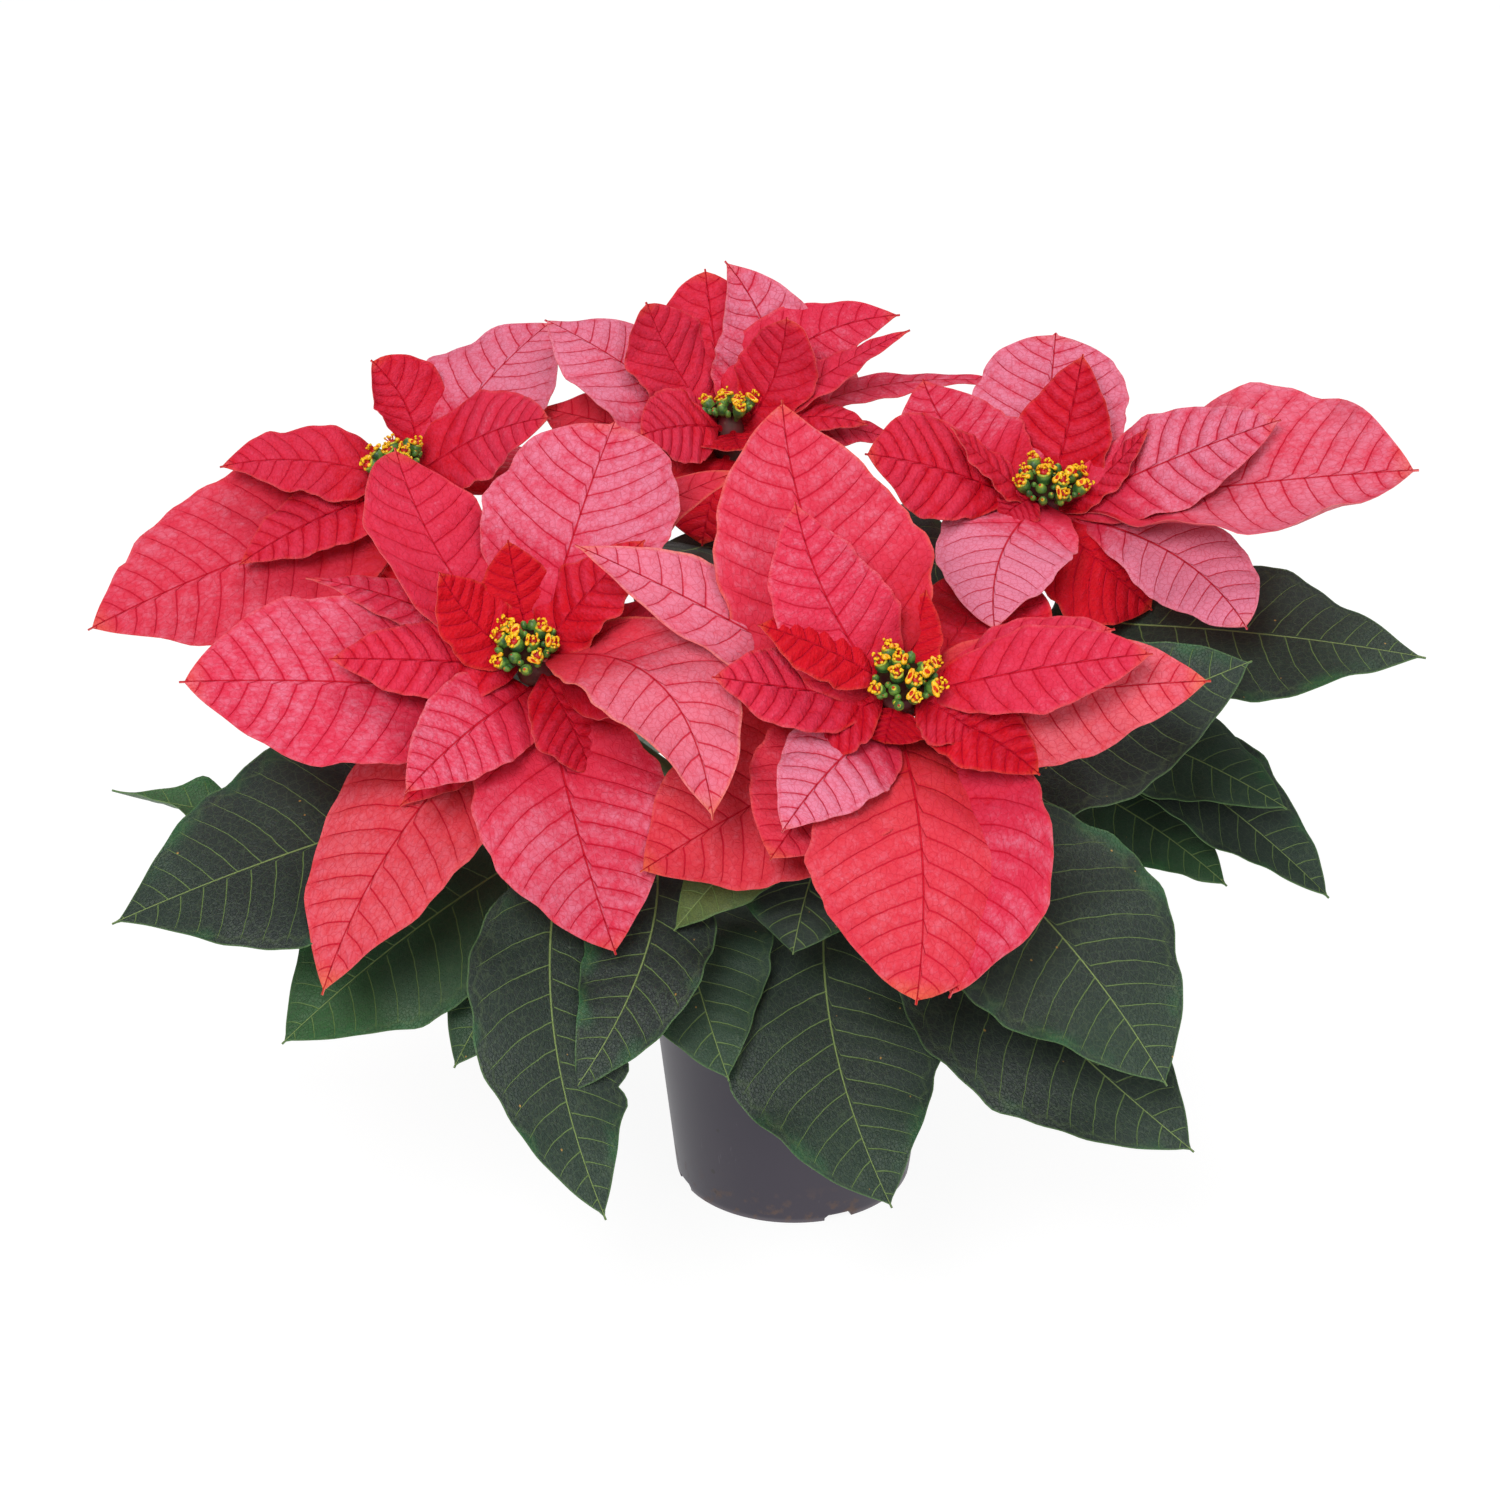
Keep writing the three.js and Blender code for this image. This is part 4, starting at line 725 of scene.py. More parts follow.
def bractMaterial():
    look = bractLook
    shader = Shader("bract_skin")
    masks = veinMasks(shader)
    along, blotch, pucker, valley = (masks[key] for key in ("along", "blotch", "pucker", "valley"))
    fine = shader.noise(masks["where"], look["fineScale"])
    quilt, warm = shader.attribute("quilt"), shader.attribute("warm")
    tone = shader.attribute("tone") * (0.35 + along.step(0.0, 0.55) * 0.65)
    # Painted highlight and shade on the quilting: the tone lifts where the pucker swells the face and
    # sinks in the valleys along the veins, the more the deeper the quilt.
    tone = tone + (blotch - 0.5) * 0.45 + (fine - 0.5) * 0.4 + (pucker - 0.5) * 0.45
    tone = tone - valley * (0.08 + quilt * 0.2)
    atRim = (1 - shader.attribute("edgeMm").step(0.1, 1.6)) * shader.attribute("rimTint") * blotch
    under = shader.attribute("under")
    colour = shader.layered(
        look["deep"],
        (tone.step(0.0, 0.5), look["middle"]),
        (tone.step(0.45, 1.0), look["pale"]),
        (warm * (0.3 + blotch * 0.6), look["warm"]),
        (atRim, look["rim"]),
        ((along - 0.9).step(0.0, 0.1) * (0.2 + warm * 0.5), look["point"]),
        (masks["net"] * look["netShare"], look["vein"]),
        (masks["mesh"] * look["meshShare"], look["vein"]),
        (masks["loop"] * look["loopShare"], look["vein"]),
        (masks["side"] * look["sideShare"], look["vein"]),
        (masks["rib"] * look["ribShare"], look["rib"]),
        # Painted shade: each bract darkens towards its root, where the bracts crowd in under the flower
        # cluster.
        ((1 - along.step(0.0, 0.2)) * look["rootShadeShare"], look["root"]),
        (under.step(0.6, 0.9) * 0.4, look["back"]),
        # Partly painted highlight: the cut edge of the sheet takes a paler pink, for both the pale margin
        # and the light it catches.
        ((1 - (under - 0.5).size().step(0.1, 0.4)) * 0.6, look["edge"]),
    )
    height = (valley * (-0.25 - quilt * 0.5) + masks["side"] * -0.12 + masks["rib"] * -0.2
              + masks["net"] * -0.08 + (pucker - 0.5) * (0.3 + quilt * 0.5) + fine * 0.12)
    sockets = {"Base Color": colour, "Roughness": look["rough"] + fine * 0.16,
               "Normal": shader.bump(height, look["bump"], look["bumpDeep"]),
               "Specular IOR Level": look["specular"]}
    return shader.finish(sockets, glow=colour, glowShare=look["glowShare"])


leafLook = dict(
    dark=(0.012, 0.020, 0.017), middle=(0.022, 0.052, 0.030), bright=(0.040, 0.14, 0.035),
    warm=(0.45, 0.22, 0.03), bloom=(0.05, 0.07, 0.045), rim=(0.12, 0.24, 0.07),
    green=(0.020, 0.13, 0.035), mesh=(0.008, 0.013, 0.010), net=(0.07, 0.11, 0.05),
    vein=(0.20, 0.31, 0.085), rib=(0.26, 0.36, 0.11), speck=(0.5, 0.28, 0.06),
    back=(0.13, 0.19, 0.12), edge=(0.10, 0.20, 0.06), glow=(0.10, 0.22, 0.03, 1.0),
    meshShare=0.35, netShare=0.3, loopShare=0.08, sideShare=0.62, ribShare=0.8,
    fineScale=1.1, rough=0.42, specular=0.42, glowShare=0.08, bump=0.6, bumpDeep=0.0006,
)


def leafMaterial():
    look = leafLook
    shader = Shader("leaf_skin")
    masks = veinMasks(shader, 0.8, 0.8)
    along, blotch, where = (masks[key] for key in ("along", "blotch", "where"))
    fine = shader.noise(where, look["fineScale"])
    tone = shader.attribute("tone") + (blotch - 0.5) * 0.3 + along.step(0.55, 1.0) * 0.22
    edge, under = shader.attribute("edgeMm"), shader.attribute("under")
    plainWarm = 0.1
    colour = shader.layered(
        look["dark"],
        (tone.step(0.0, 0.55), look["middle"]),
        (tone.step(0.5, 1.1), look["bright"]),
        ((shader.attribute("warm") - plainWarm) * blotch * 1.2, look["warm"]),
        ((fine - 0.5).step(0.0, 0.3) * 0.25, look["bloom"]),
        ((1 - edge.step(0.15, 0.8)) * 0.6, look["rim"]),
        ((1 - edge.step(0.0, 9.0)) * blotch.step(0.5, 0.7) * 0.7, look["green"]),
        (masks["mesh"] * look["meshShare"], look["mesh"]),
        (masks["net"] * look["netShare"], look["net"]),
        (masks["loop"] * look["loopShare"], look["vein"]),
        (masks["side"] * look["sideShare"], look["vein"]),
        (masks["rib"] * look["ribShare"], look["rib"]),
        (shader.dots(where, 0.12, 0.03, 0.05) * 0.8, look["speck"]),
        (under.step(0.6, 0.9) * 0.6, look["back"]),
        (1 - (under - 0.5).size().step(0.1, 0.4), look["edge"]),
    )
    height = masks["side"] * -0.8 + masks["rib"] * -1.0 + masks["mesh"] * -0.3 + fine * 0.6
    sockets = {"Base Color": colour, "Roughness": look["rough"] + fine * 0.2,
               "Normal": shader.bump(height, look["bump"], look["bumpDeep"]),
               "Specular IOR Level": look["specular"]}
    return shader.finish(sockets, glow=look["glow"], glowShare=look["glowShare"])


# Stem skins: two colours that streak into each other, the size of the streaks, and spots.
stemLook = dict(
    green_stem=((0.05, 0.09, 0.03), (0.10, 0.12, 0.045), 160),
    # The red of the shoot among the bracts is partly painted shade, darkened to near-black maroon for the
    # shade round the flower clusters.
    shaded_red_stem=((0.10, 0.004, 0.008), (0.06, 0.018, 0.010), 160),
    bark=((0.085, 0.06, 0.035), (0.17, 0.125, 0.075), 90),
    spot=(0.16, 0.13, 0.07),
)


def stemMaterial(name):
    low, high, scale = stemLook[name]
    shader = Shader(name)
    streak = shader.noise(shader.place(), scale, 4.0)
    spots = shader.noise(shader.place(), scale * 5, 2.0)
    colour = shader.layered(low, (streak.step(0.35, 0.7), high),
                            (spots.step(0.6, 0.75) * 0.3, stemLook["spot"]))
    return shader.finish({"Base Color": colour, "Roughness": 0.55 + streak * 0.2,
                          "Normal": shader.bump(streak + spots * 0.4, 0.5, 0.0006)})


bractSkin = bractMaterial()
leafSkin = leafMaterial()
greenStem = stemMaterial("green_stem")
shadedRedStem = stemMaterial("shaded_red_stem")
bark = stemMaterial("bark")
print("leaf and stem materials done")

# Each shoot is red in its head and green below. A blade needs enough rows for its edge.
headPieces = dict(name="bract_head", node="bracts", blades=bracts, rows=44, halfColumns=9,
                  skin=bractSkin, stem=shadedRedStem, start=3.5, end=38, radius=4.0, slot="bract")
leafPieces = dict(name="leafy_shoot", node="leafy_stem", blades=leaves, rows=56, halfColumns=12,
                  skin=leafSkin, stem=greenStem, start=38, end=400, radius=3.1, slot="leaf")
joint = dict(swell=0.16, long=2.2)


# A shoot is a little thicker at each drop where a blade leaves it.
def swelling(drop, drops, radius):
    bulges = sum(math.exp(-((drop - d) / joint["long"]) ** 2) for d in drops)
    return radius * (1 + joint["swell"] * bulges)


def bladedPiece(piece, key, shoot):
    own = [row for row in piece["blades"] if row[0][0] == key]
    build = Build(*bladeNumbers)
    for place, row in enumerate(own):
        seed = (ord(key) * 7 + place * 13) % 29 / 29
        Blade(row, piece["rows"], piece["halfColumns"], seed).addTo(build)
    drops = [row[1] for row in own]
    points, faces = shoot.bar(piece["start"], piece["end"],
                              lambda drop: swelling(drop, drops, piece["radius"]), 14, 40)
    build.add(points, faces, 1)
    made = build.object(f"{piece['name']}_{key}", [piece["skin"], piece["stem"]])
    keep(made, f"{piece['node']}_{key}")


for piece in (headPieces, leafPieces):
    for key, shoot in shoots.items():
        bladedPiece(piece, key, shoot)

# Flower skins: two colours that cloud into each other, the size of the clouds, how rough
# and how shiny. Their places here are the material slots of a cluster.
flowerSkins = dict(
    # disc is painted shade: near-black maroon, standing for the dark gaps between the flowers.
    disc=((0.022, 0.003, 0.004), (0.03, 0.014, 0.006), 400, 0.8, 0.05),
    cup=((0.022, 0.085, 0.022), (0.13, 0.28, 0.035), 350, 0.4, 0.5),
    gland=((0.94, 0.60, 0.008), (0.86, 0.36, 0.006), 600, 0.25, 0.6),
    stamen=((0.60, 0.010, 0.006), (0.40, 0.004, 0.006), 500, 0.4, 0.5),
    pollen=((0.94, 0.66, 0.02), (0.85, 0.42, 0.01), 900, 0.7, 0.2),
    rim=((0.24, 0.40, 0.04), (0.62, 0.55, 0.03), 400, 0.4, 0.5),
    mouth=((0.66, 0.045, 0.003), (0.42, 0.006, 0.004), 500, 0.5, 0.2),
)
shadeDiscSlot, cupSlot, glandSlot, stamenSlot, pollenSlot, rimSlot, mouthSlot = range(len(flowerSkins))


def flowerSkin(name, colour, other, scale, rough, specular):
    shader = Shader(f"flower_{name}")
    cloud = shader.noise(shader.place(), scale)
    return shader.finish({"Base Color": shader.mix(cloud.step(0.35, 0.65), colour, other),
                          "Roughness": rough + cloud * 0.1,
                          "Normal": shader.bump(cloud, 0.3, 0.0003),
                          "Specular IOR Level": specular})


flowerMaterials = [flowerSkin(name, *look) for name, look in flowerSkins.items()]


def placed(points, foot, direction, spin, size=1.0):
    turn = Vector((0, 0, 1)).rotation_difference(Vector(direction)).to_matrix()
    matrix = np.array(turn @ Matrix.Rotation(spin, 3, "Z"))
    return foot + (np.asarray(points) * size) @ matrix.T


def ball(centre, radius, sides=8, stretch=1.0):
    poleGap, rings = 0.12, 6
    steps = np.linspace(poleGap, math.pi - poleGap, rings)
    profile = [(radius * math.sin(s), -radius * stretch * math.cos(s)) for s in steps]
    points, faces = turnedGrid(profile, sides)
    return points + np.asarray(centre), faces


# An oval ring round a middle, facing along a direction in the XZ plane. Where it is
# uneven, its two swellings are thicker and reach further out.
def ovalRing(middle, tilt, wide, high, thick, uneven=0.0, phase=0.0, sides=14, around=7):
    swellOut, swellThick = 0.25, 0.6
    across = np.array([0.0, 1.0, 0.0])
    facing = np.array([math.cos(tilt), 0.0, math.sin(tilt)])
    upward = np.cross(facing, across)
    points, faces = [], []
    for i in range(sides):
        angle = fullTurn * i / sides
        swell = uneven * math.sin(angle * 2 + phase)
        out = (across * math.cos(angle) * wide + upward * math.sin(angle) * high) * (1 + swell * swellOut)
        centre = np.asarray(middle) + out
        bead = thick * (1 + swell * swellThick)
        for j in range(around):
            turn = fullTurn * j / around
            points.append(centre + unit(out) * bead * math.cos(turn) + facing * bead * math.sin(turn))
            here, beside = i * around, (i + 1) % sides * around
            k = (j + 1) % around
            faces.append((here + j, beside + j, beside + k, here + k))
    return np.array(points), faces


# An open flower, in mm and radians: its cup, collar and red middle, the gland on its side,
# the yellow lumps on its rim, and its stamens.
flower = dict(
    cup=[(0.7, -3.4), (1.0, -2.0), (1.6, -0.6), (2.1, 0.9), (2.25, 2.2), (2.0, 3.3), (1.5, 3.8),
         (0.9, 3.7)],
    cupSides=14, collarHigh=3.55, collarWide=1.7, collarThick=0.42, middleHigh=4.0, middleWide=1.4,
    glandAt=(2.0, 0, 4.2), glandTilt=0.75, glandWide=1.5, glandHigh=0.95, glandThick=0.5,
    lumps=3, lumpTurn=1.5, lumpOut=1.65, lumpHigh=4.1, lumpSize=0.62,
    stamens=5, stamenTurn=1.26, stamenFoot=4.2, stamenTop=4.7,
    stamenRadii=[0.28, 0.24, 0.2], sacRadii=[0.24, 0.42, 0.4, 0.24],
)


# One flower on Z: a green cup with a yellow rim, a yellow gland open like a mouth on its
# side, a deep red middle and short red stamens tipped with curled yellow pollen sacs.
def flowerShapes(random):
    def wander(span):
        return span * (next(random) - 0.5)

    collar = ovalRing((0, 0, flower["collarHigh"]), math.pi / 2, flower["collarWide"],
                      flower["collarWide"], flower["collarThick"])
    shapes = [(turnedGrid(flower["cup"], flower["cupSides"]), cupSlot), (collar, rimSlot),
              (ball((0, 0, flower["middleHigh"]), flower["middleWide"], 10, 0.75), stamenSlot)]
    tilt = flower["glandTilt"] + wander(0.5)
    wide, high = flower["glandWide"] + wander(0.4), flower["glandHigh"] + wander(0.3)
    middle = np.array(flower["glandAt"])
    gland = ovalRing(middle, tilt, wide, high, flower["glandThick"], 1.0, 6 * next(random))
    shapes.append((gland, glandSlot))
    facing = np.array([math.cos(tilt), 0, math.sin(tilt)])
    points, faces = ball((0, 0, 0), 1.0, 10, 0.4)
    mouth = placed(points * [high, wide, 1], middle - facing * 0.1, facing, 0)
    shapes.append(((mouth, faces), mouthSlot))
    for k in range(flower["lumps"]):
        angle = (k + 1) * flower["lumpTurn"] + wander(1.0)
        around = np.array([math.cos(angle), math.sin(angle), 0])
        lumpAt = around * flower["lumpOut"] + [0, 0, flower["lumpHigh"] + wander(0.5)]
        shapes.append((ball(lumpAt, flower["lumpSize"] + wander(0.3), 8, 0.8), glandSlot))
    for k in range(flower["stamens"]):
        angle, rise = k * flower["stamenTurn"] + next(random), 0.5 + 1.3 * next(random)
        around = np.array([math.cos(angle), math.sin(angle), 0])
        foot = around * 0.5 + [0, 0, flower["stamenFoot"]]
        top = around * (0.6 + 1.2 * next(random)) + [0, 0, flower["stamenTop"] + rise]
        stalk = [foot, (foot + top) / 2 + around * 0.15, top]
        shapes.append((barGrid(stalk, flower["stamenRadii"], 5), stamenSlot))
        bend = np.array([-around[1], around[0], 0]) * (0.5 + wander(0.5))
        sac = [top - bend - [0, 0, 0.25], top - bend * 0.4 + [0, 0, 0.2], top + bend * 0.4 + [0, 0, 0.25],
               top + bend + [0, 0, -0.15 + wander(0.4)]]
        shapes.append((barGrid(sac, flower["sacRadii"], 6), pollenSlot))
    return shapes


# A flower that hasn't opened: a closed green bud with a light tip.
def budShapes(random):
    long = 1.25 + 0.3 * next(random)
    return [(ball((0, 0, 1.2), 1.75, 12, long), cupSlot), (ball((0, 0, 2.9), 0.85, 10, 0.9), rimSlot),
            (ball((0.2, 0, 3.5), 0.42, 8, 0.8), stamenSlot)]


# A cluster: its disc as shares of its foot and heights, the small buds round the disc, and
# the flowers, each a golden turn on from the last and further out.
cluster = dict(
    top=3.7, footShare=0.5, disc=[(0.5, 0), (0.8, 1.4), (1.0, 2.4), (0.85, 3.4), (0.3, 3.7)],
    discSides=20, footBuds=10, firstFlower=0.4, reach=0.82, turn=137.5, stray=0.3, lean=1.1,
    rise=3.2, droop=1.8, out=0.74, size=0.95, sizeSpread=0.3, budEvery=4, budTurn=1.9, budSize=0.7,
)


def flowerCluster(key, head):
    shoot = shoots[key]
    axis = shoot.axis
    base = shoot.at(cluster["top"])
    # The first run scatters the flowers as the solids have them, and the second the rest.
    random = randomFrom(ord(key) * 97)
    detail = randomFrom(ord(key) * 31)
    aside = unit(np.cross(axis, [0, 1, 0]))
    ahead = np.cross(axis, aside)
    build = Build()

    def outAt(angle):
        return aside * math.cos(angle) + ahead * math.sin(angle)

    # Sets shapes down together, at one size or each at a size of its own.
    def stand(shapes, foot, direction, spin=0, size=None):
        for (points, faces), slot in shapes:
            own = 0.55 + 0.3 * next(detail) if size is None else size
            build.add(placed(points, foot, direction, spin, own), faces, slot)

    spread = head["spread"]
    foot = spread * cluster["footShare"]
    points, faces = turnedGrid([(foot * share, z) for share, z in cluster["disc"]], cluster["discSides"])
    build.add(placed(points, base, axis, 0), faces, shadeDiscSlot)
    for k in range(cluster["footBuds"]):
        out = outAt(fullTurn / cluster["footBuds"] * (k + 0.5 * next(detail)))
        budFoot = base + axis * (0.4 + 1.8 * next(detail)) + out * foot * 0.95
        stand(budShapes(detail), budFoot, unit(axis + out * 1.3))
    for i in range(head["flowers"]):
        radius = spread * math.sqrt((i + cluster["firstFlower"]) / head["flowers"]) * cluster["reach"]
        angle = i * math.radians(cluster["turn"]) + cluster["stray"] * next(random)
        out, lean = outAt(angle), cluster["lean"] * radius / spread
        point = base + axis * (cluster["rise"] - cluster["droop"] * lean) + out * radius * cluster["out"]
        size = cluster["size"] + cluster["sizeSpread"] * next(random)
        # The solids turn the flower on its own axis by this draw, which isn't used here.
        next(random)
        towards = math.atan2(float(out @ ahead), float(out @ aside))
        spin = towards + 2.2 * next(detail)
        isBud = i % cluster["budEvery"] == cluster["budEvery"] - 1
        shapes = budShapes(detail) if isBud else flowerShapes(detail)
        stand(shapes, point, unit(axis + out * lean), spin, size)
        budOut = outAt(angle + cluster["budTurn"])
        budPoint = base + axis * (1.5 + 1.5 * next(detail)) + budOut * (radius * 0.6 + 2.0)
        stand(budShapes(detail), budPoint, unit(axis + budOut * lean), size=cluster["budSize"])
    keep(build.object(f"flower_cluster_{key}", flowerMaterials, 70), f"flowers_{key}")


for key, head in heads.items():
    flowerCluster(key, head)


pot = dict(height=105, footRadius=44.5, wallTop=55.3, rimRadius=58.5, rimDepth=8, wall=1.4,
           slots=4, slotWide=11, slotHigh=2.6, slotTurn=292, soilTop=92, sides=112)
potLook = dict(dark=(0.030, 0.024, 0.041), light=(0.042, 0.033, 0.051), scuff=(0.35, 0.33, 0.36),
               dirt=(0.16, 0.095, 0.06), speck=(0.02, 0.016, 0.014), footHighlight=(0.15, 0.125, 0.14),
               rough=0.36, dirtUpTo=0.02, footHighlightAt=(0.0008, 0.0026), bump=0.25, bumpDeep=0.0004)


def potMaterial():
    look = potLook
    shader = Shader("pot_plastic")
    place = shader.place()
    x, y, z = shader.axes(place)
    cloud = shader.noise(place, 12)
    grain = shader.noise(place, 1600, 2.0)
    streaks = shader.noise(shader.vector(x * 900, y * 900, z * 60), 1.0)
    scuff = streaks.step(0.66, 0.74) * shader.noise(place, 30, 2.0).step(0.5, 0.62)
    dirt = shader.noise(place, 160, 4.0).step(0.52, 0.66) * (1 - z.step(0.0, look["dirtUpTo"]))
    colour = shader.layered(
        look["dark"],
        (cloud.step(0.3, 0.7), look["light"]),
        (scuff * 0.35, look["scuff"]),
        (dirt * 0.6, look["dirt"]),
        (shader.dots(place, 70, 0.05, 0.09) * 0.7, look["speck"]),
        # Painted highlight: a lighter band round the bottom of the foot, where its edge catches the
        # light.
        ((1 - z.step(*look["footHighlightAt"])) * 0.5, look["footHighlight"]),
    )
    height = grain * 0.3 + dirt * 0.6 + scuff * -0.2
    return shader.finish({"Base Color": colour, "Roughness": look["rough"] + cloud * 0.12 + dirt * 0.3,
                          "Normal": shader.bump(height, look["bump"], look["bumpDeep"])})


# Half a section of the pot, from the foot up outside, over the rim and down inside.
def potProfile():
    height, foot, top, wall = pot["height"], pot["footRadius"], pot["wallTop"], pot["wall"]
    rim = pot["rimRadius"]
    rimFoot = height - pot["rimDepth"]
    slope = (top - foot) / rimFoot
    profile = [(foot - 3, 0), (foot - 0.7, 0), (foot - 0.2, 0.2), (foot, 0.8)]
    profile += [(foot + slope * z, z) for z in np.linspace(3.4, rimFoot - 1.6, 14)]
    profile += [(top + 0.4, rimFoot - 1.2), (rim - 0.7, rimFoot - 0.5), (rim - 0.15, rimFoot),
                (rim, rimFoot + 0.6), (rim, height - 0.9), (rim - 0.25, height - 0.2),
                (rim - 0.7, height), (rim - wall, height - 0.1), (rim - wall - 0.3, height - 0.7),
                (rim - wall - 0.6, rimFoot + 1.2), (top - wall, rimFoot + 0.4)]
    profile += [(foot - wall + slope * z, z) for z in np.linspace(rimFoot - 6, 3, 8)]
    return profile + [(foot - wall - 1.2, wall), (foot * 0.5, wall)]


# A block with an arched top that notches the pot's foot.
def slotCutter(angle, foot):
    wide, high = pot["slotWide"], pot["slotHigh"]
    outline = [(-wide / 2, -1), (wide / 2, -1), (wide / 2, high * 0.55), (wide * 0.38, high),
               (-wide * 0.38, high), (-wide / 2, high * 0.55)]
    points = [(x, y, z) for x in (foot - 5, foot + 4) for y, z in outline]
    count = len(outline)
    faces = [tuple(range(count - 1, -1, -1)), tuple(range(count, 2 * count))]
    faces += [(k, (k + 1) % count, (k + 1) % count + count, k + count) for k in range(count)]
    turn = np.array(Matrix.Rotation(angle, 3, "Z"))
    build = Build()
    build.add(np.array(points) @ turn.T, faces)
    return build.object("slot_cutter", [])


def buildPot():
    build = Build()
    build.add(*turnedGrid(potProfile(), pot["sides"]))
    body = build.object("nursery_pot", [potMaterial()], 35)
    cutters = []
    for k in range(pot["slots"]):
        angle = math.radians(pot["slotTurn"] + 360 / pot["slots"] * k)
        cutters.append(slotCutter(angle, pot["footRadius"]))
        cut = body.modifiers.new(f"slot_{k}", "BOOLEAN")
        cut.operation = "DIFFERENCE"
        cut.solver = "EXACT"
        cut.object = cutters[-1]
    evaluated = body.evaluated_get(bpy.context.evaluated_depsgraph_get())
    carved = bpy.data.meshes.new_from_object(evaluated)
    body.modifiers.clear()
    body.data = carved
    for cutter in cutters:
        bpy.data.objects.remove(cutter, do_unlink=True)
    keep(body, "pot")


buildPot()

soil = dict(gap=0.45, rings=22, sides=96, lump=0.55, lumpMost=1.3, crumbs=420, crumbSize=(0.5, 1.9))
soilLook = dict(dark=(0.028, 0.017, 0.010), light=(0.085, 0.055, 0.034), crumb=(0.22, 0.16, 0.10),
                fibre=(0.42, 0.38, 0.31), rough=0.92, specular=0.15, bump=0.9, bumpDeep=0.0012)


def soilMaterial():
    look = soilLook
    shader = Shader("peat")
    place = shader.place()
    cloud = shader.noise(place, 60, 4.0)
    grain = shader.noise(place, 700)
    colour = shader.layered(
        look["dark"],
        (cloud.step(0.3, 0.7), look["light"]),
        (grain.step(0.62, 0.72) * 0.6, look["crumb"]),
        (shader.dots(place, 260, 0.1, 0.16) * 0.7, look["fibre"]),
    )
    return shader.finish({"Base Color": colour, "Roughness": look["rough"],
                          "Normal": shader.bump(grain + cloud, look["bump"], look["bumpDeep"]),
                          "Specular IOR Level": look["specular"]})


# The soil fills the pot up to a lumpy top with loose crumbs on it.
def buildSoil():
    top, sides = pot["soilTop"], soil["sides"]
    slope = (pot["wallTop"] - pot["footRadius"]) / (pot["height"] - pot["rimDepth"] - 2)
    edge = pot["footRadius"] - pot["wall"] - soil["gap"]
    rim = edge + slope * (top - 3) - 0.5
    random = np.random.default_rng(7)
    profile = [(edge - 3, 1.7), (edge - 0.4, 4.7), (rim, top - 1), (rim * 0.99, top)]
    profile += [(rim * share, top) for share in np.linspace(0.96, 0.13, soil["rings"])]
    points, faces = turnedGrid(profile, sides)
    lumps = random.normal(0, soil["lump"], len(points))
    lumpy = slice(4 * sides, None)
    points[lumpy, 2] += np.clip(lumps[lumpy], -soil["lumpMost"], soil["lumpMost"])
    build = Build()
    build.add(points, faces)
    for _ in range(soil["crumbs"]):
        radius, angle = rim * math.sqrt(random.uniform(0.03, 0.93)), random.uniform(0, fullTurn)
        size = random.uniform(*soil["crumbSize"])
        points, faces = ball((0, 0, 0), size, 6, random.uniform(0.5, 0.9))
        points = points * random.uniform(0.75, 1.25, points.shape)
        build.add(points + [radius * math.cos(angle), radius * math.sin(angle), top + size * 0.25], faces)
    keep(build.object("peat_soil", [soilMaterial()], 60), "soil")


buildSoil()

# The woody stem: heights and radii of its taper, and the old leaf scars that ring it.
mainStem = dict(heights=[62, 120, 130, 134], radii=[6.3, 5.8, 5.2, 4.3],
                scars=[70, 84, 97, 108, 117, 126], scarSwell=0.05, scarLong=1.4, rings=48, sides=24)


def buildMainStem():
    profile = []
    for z in np.linspace(mainStem["heights"][0], mainStem["heights"][-1], mainStem["rings"]):
        scars = sum(math.exp(-((z - scar) / mainStem["scarLong"]) ** 2) for scar in mainStem["scars"])
        radius = np.interp(z, mainStem["heights"], mainStem["radii"])
        profile.append((radius * (1 + mainStem["scarSwell"] * scars), z))
    build = Build()
    build.add(*turnedGrid(profile, mainStem["sides"]))
    keep(build.object("woody_stem", [bark], 60), "main_stem")


buildMainStem()

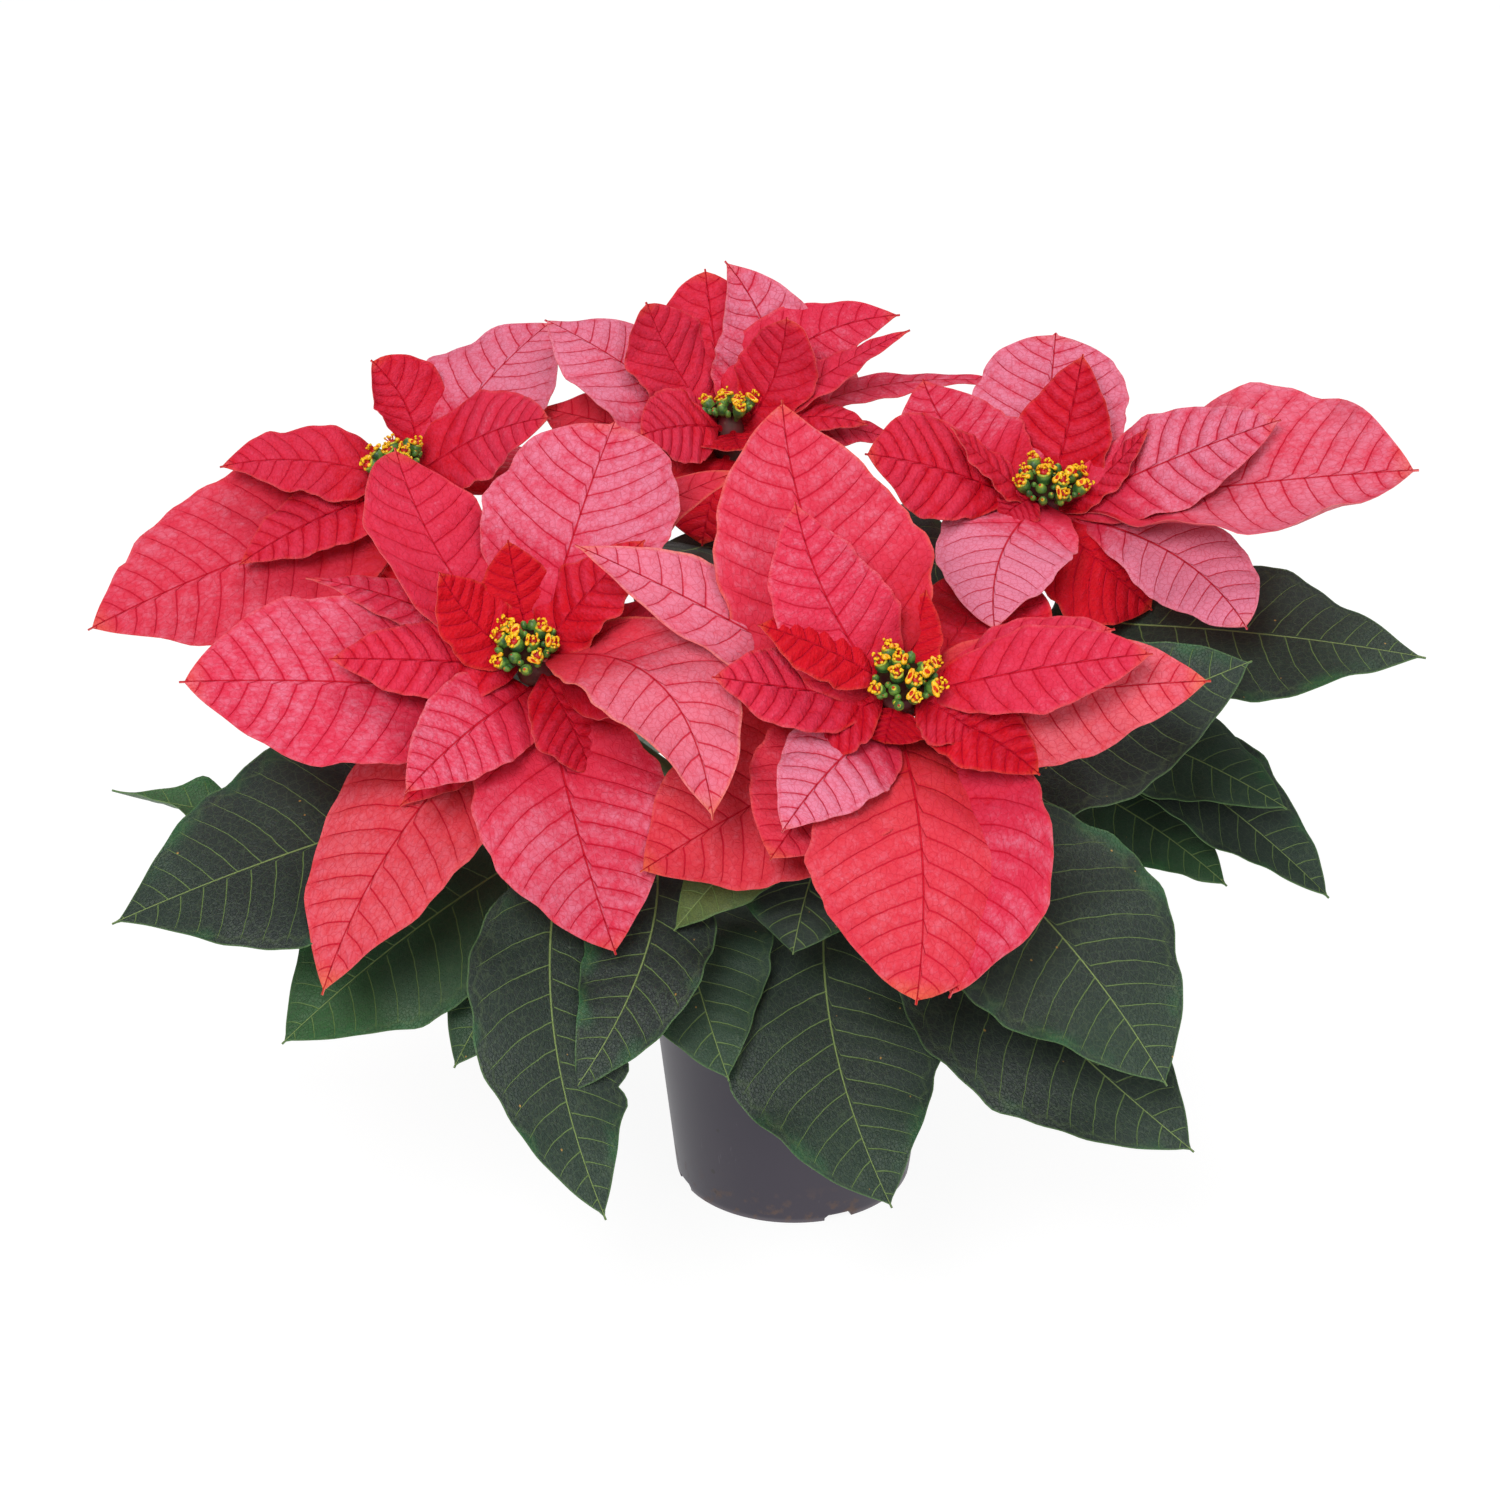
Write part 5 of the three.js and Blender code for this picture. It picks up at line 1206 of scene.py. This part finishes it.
# A pale floor that glows a little, three soft lights, in metres and watts, and the room.
stage = dict(floorRadius=14, floorDark=(0.15, 0.15, 0.15), floorLight=(0.16, 0.16, 0.16),
             floorGlow=0.915, roomLight=0.33, aim=(0, 0, 0.18))
lights = dict(
    key_light=dict(place=(-0.6, -1.7, 1.9), size=1.2, power=38),
    top_light=dict(place=(0.5, 0.6, 2.4), size=1.4, power=20),
    fill_light=dict(place=(1.3, -1.8, 0.9), size=1.3, power=8),
)


def buildFloor():
    shader = Shader("studio_floor")
    shade = shader.noise(shader.place(), 0.6, 1.0)
    sockets = {"Base Color": shader.mix(shade, stage["floorDark"], stage["floorLight"]),
               "Roughness": 0.9, "Specular IOR Level": 0.0, "Emission Color": (1, 1, 1, 1),
               "Emission Strength": stage["floorGlow"]}
    bpy.ops.mesh.primitive_circle_add(vertices=96, radius=stage["floorRadius"], fill_type="NGON",
                                      location=(0, 0, 0))
    floor = bpy.context.active_object
    floor.name = "studio_floor"
    floor.data.materials.append(shader.finish(sockets))


def softLight(name, place, size, power):
    light = bpy.data.lights.new(name, "AREA")
    light.shape = "DISK"
    light.size = size
    light.energy = power
    lamp = bpy.data.objects.new(name, light)
    lamp.location = place
    toward = Vector(stage["aim"]) - Vector(place)
    lamp.rotation_euler = toward.to_track_quat("-Z", "Y").to_euler()
    bpy.context.scene.collection.objects.link(lamp)


buildFloor()
for name, light in lights.items():
    softLight(name, **light)
world = bpy.data.worlds.new("studio")
world.use_nodes = True
background = world.node_tree.nodes["Background"]
background.inputs["Color"].default_value = (1.0, 1.0, 1.0, 1.0)
background.inputs["Strength"].default_value = stage["roomLight"]
bpy.context.scene.world = world
bpy.context.scene.view_settings.view_transform = "Standard"

camera = bpy.data.objects.new("camera", bpy.data.cameras.new("camera"))
camera.data.lens = view["lens"]
camera.data.sensor_width = view["sensor"]
camera.data.sensor_fit = "HORIZONTAL"
camera.data.clip_end = 60
camera.location = viewer * mm
camera.rotation_euler = (math.pi / 2 - viewPitch, 0, 0)
bpy.context.scene.collection.objects.link(camera)
bpy.context.scene.camera = camera
print("floor, lights and camera done")

bpy.context.view_layer.update()
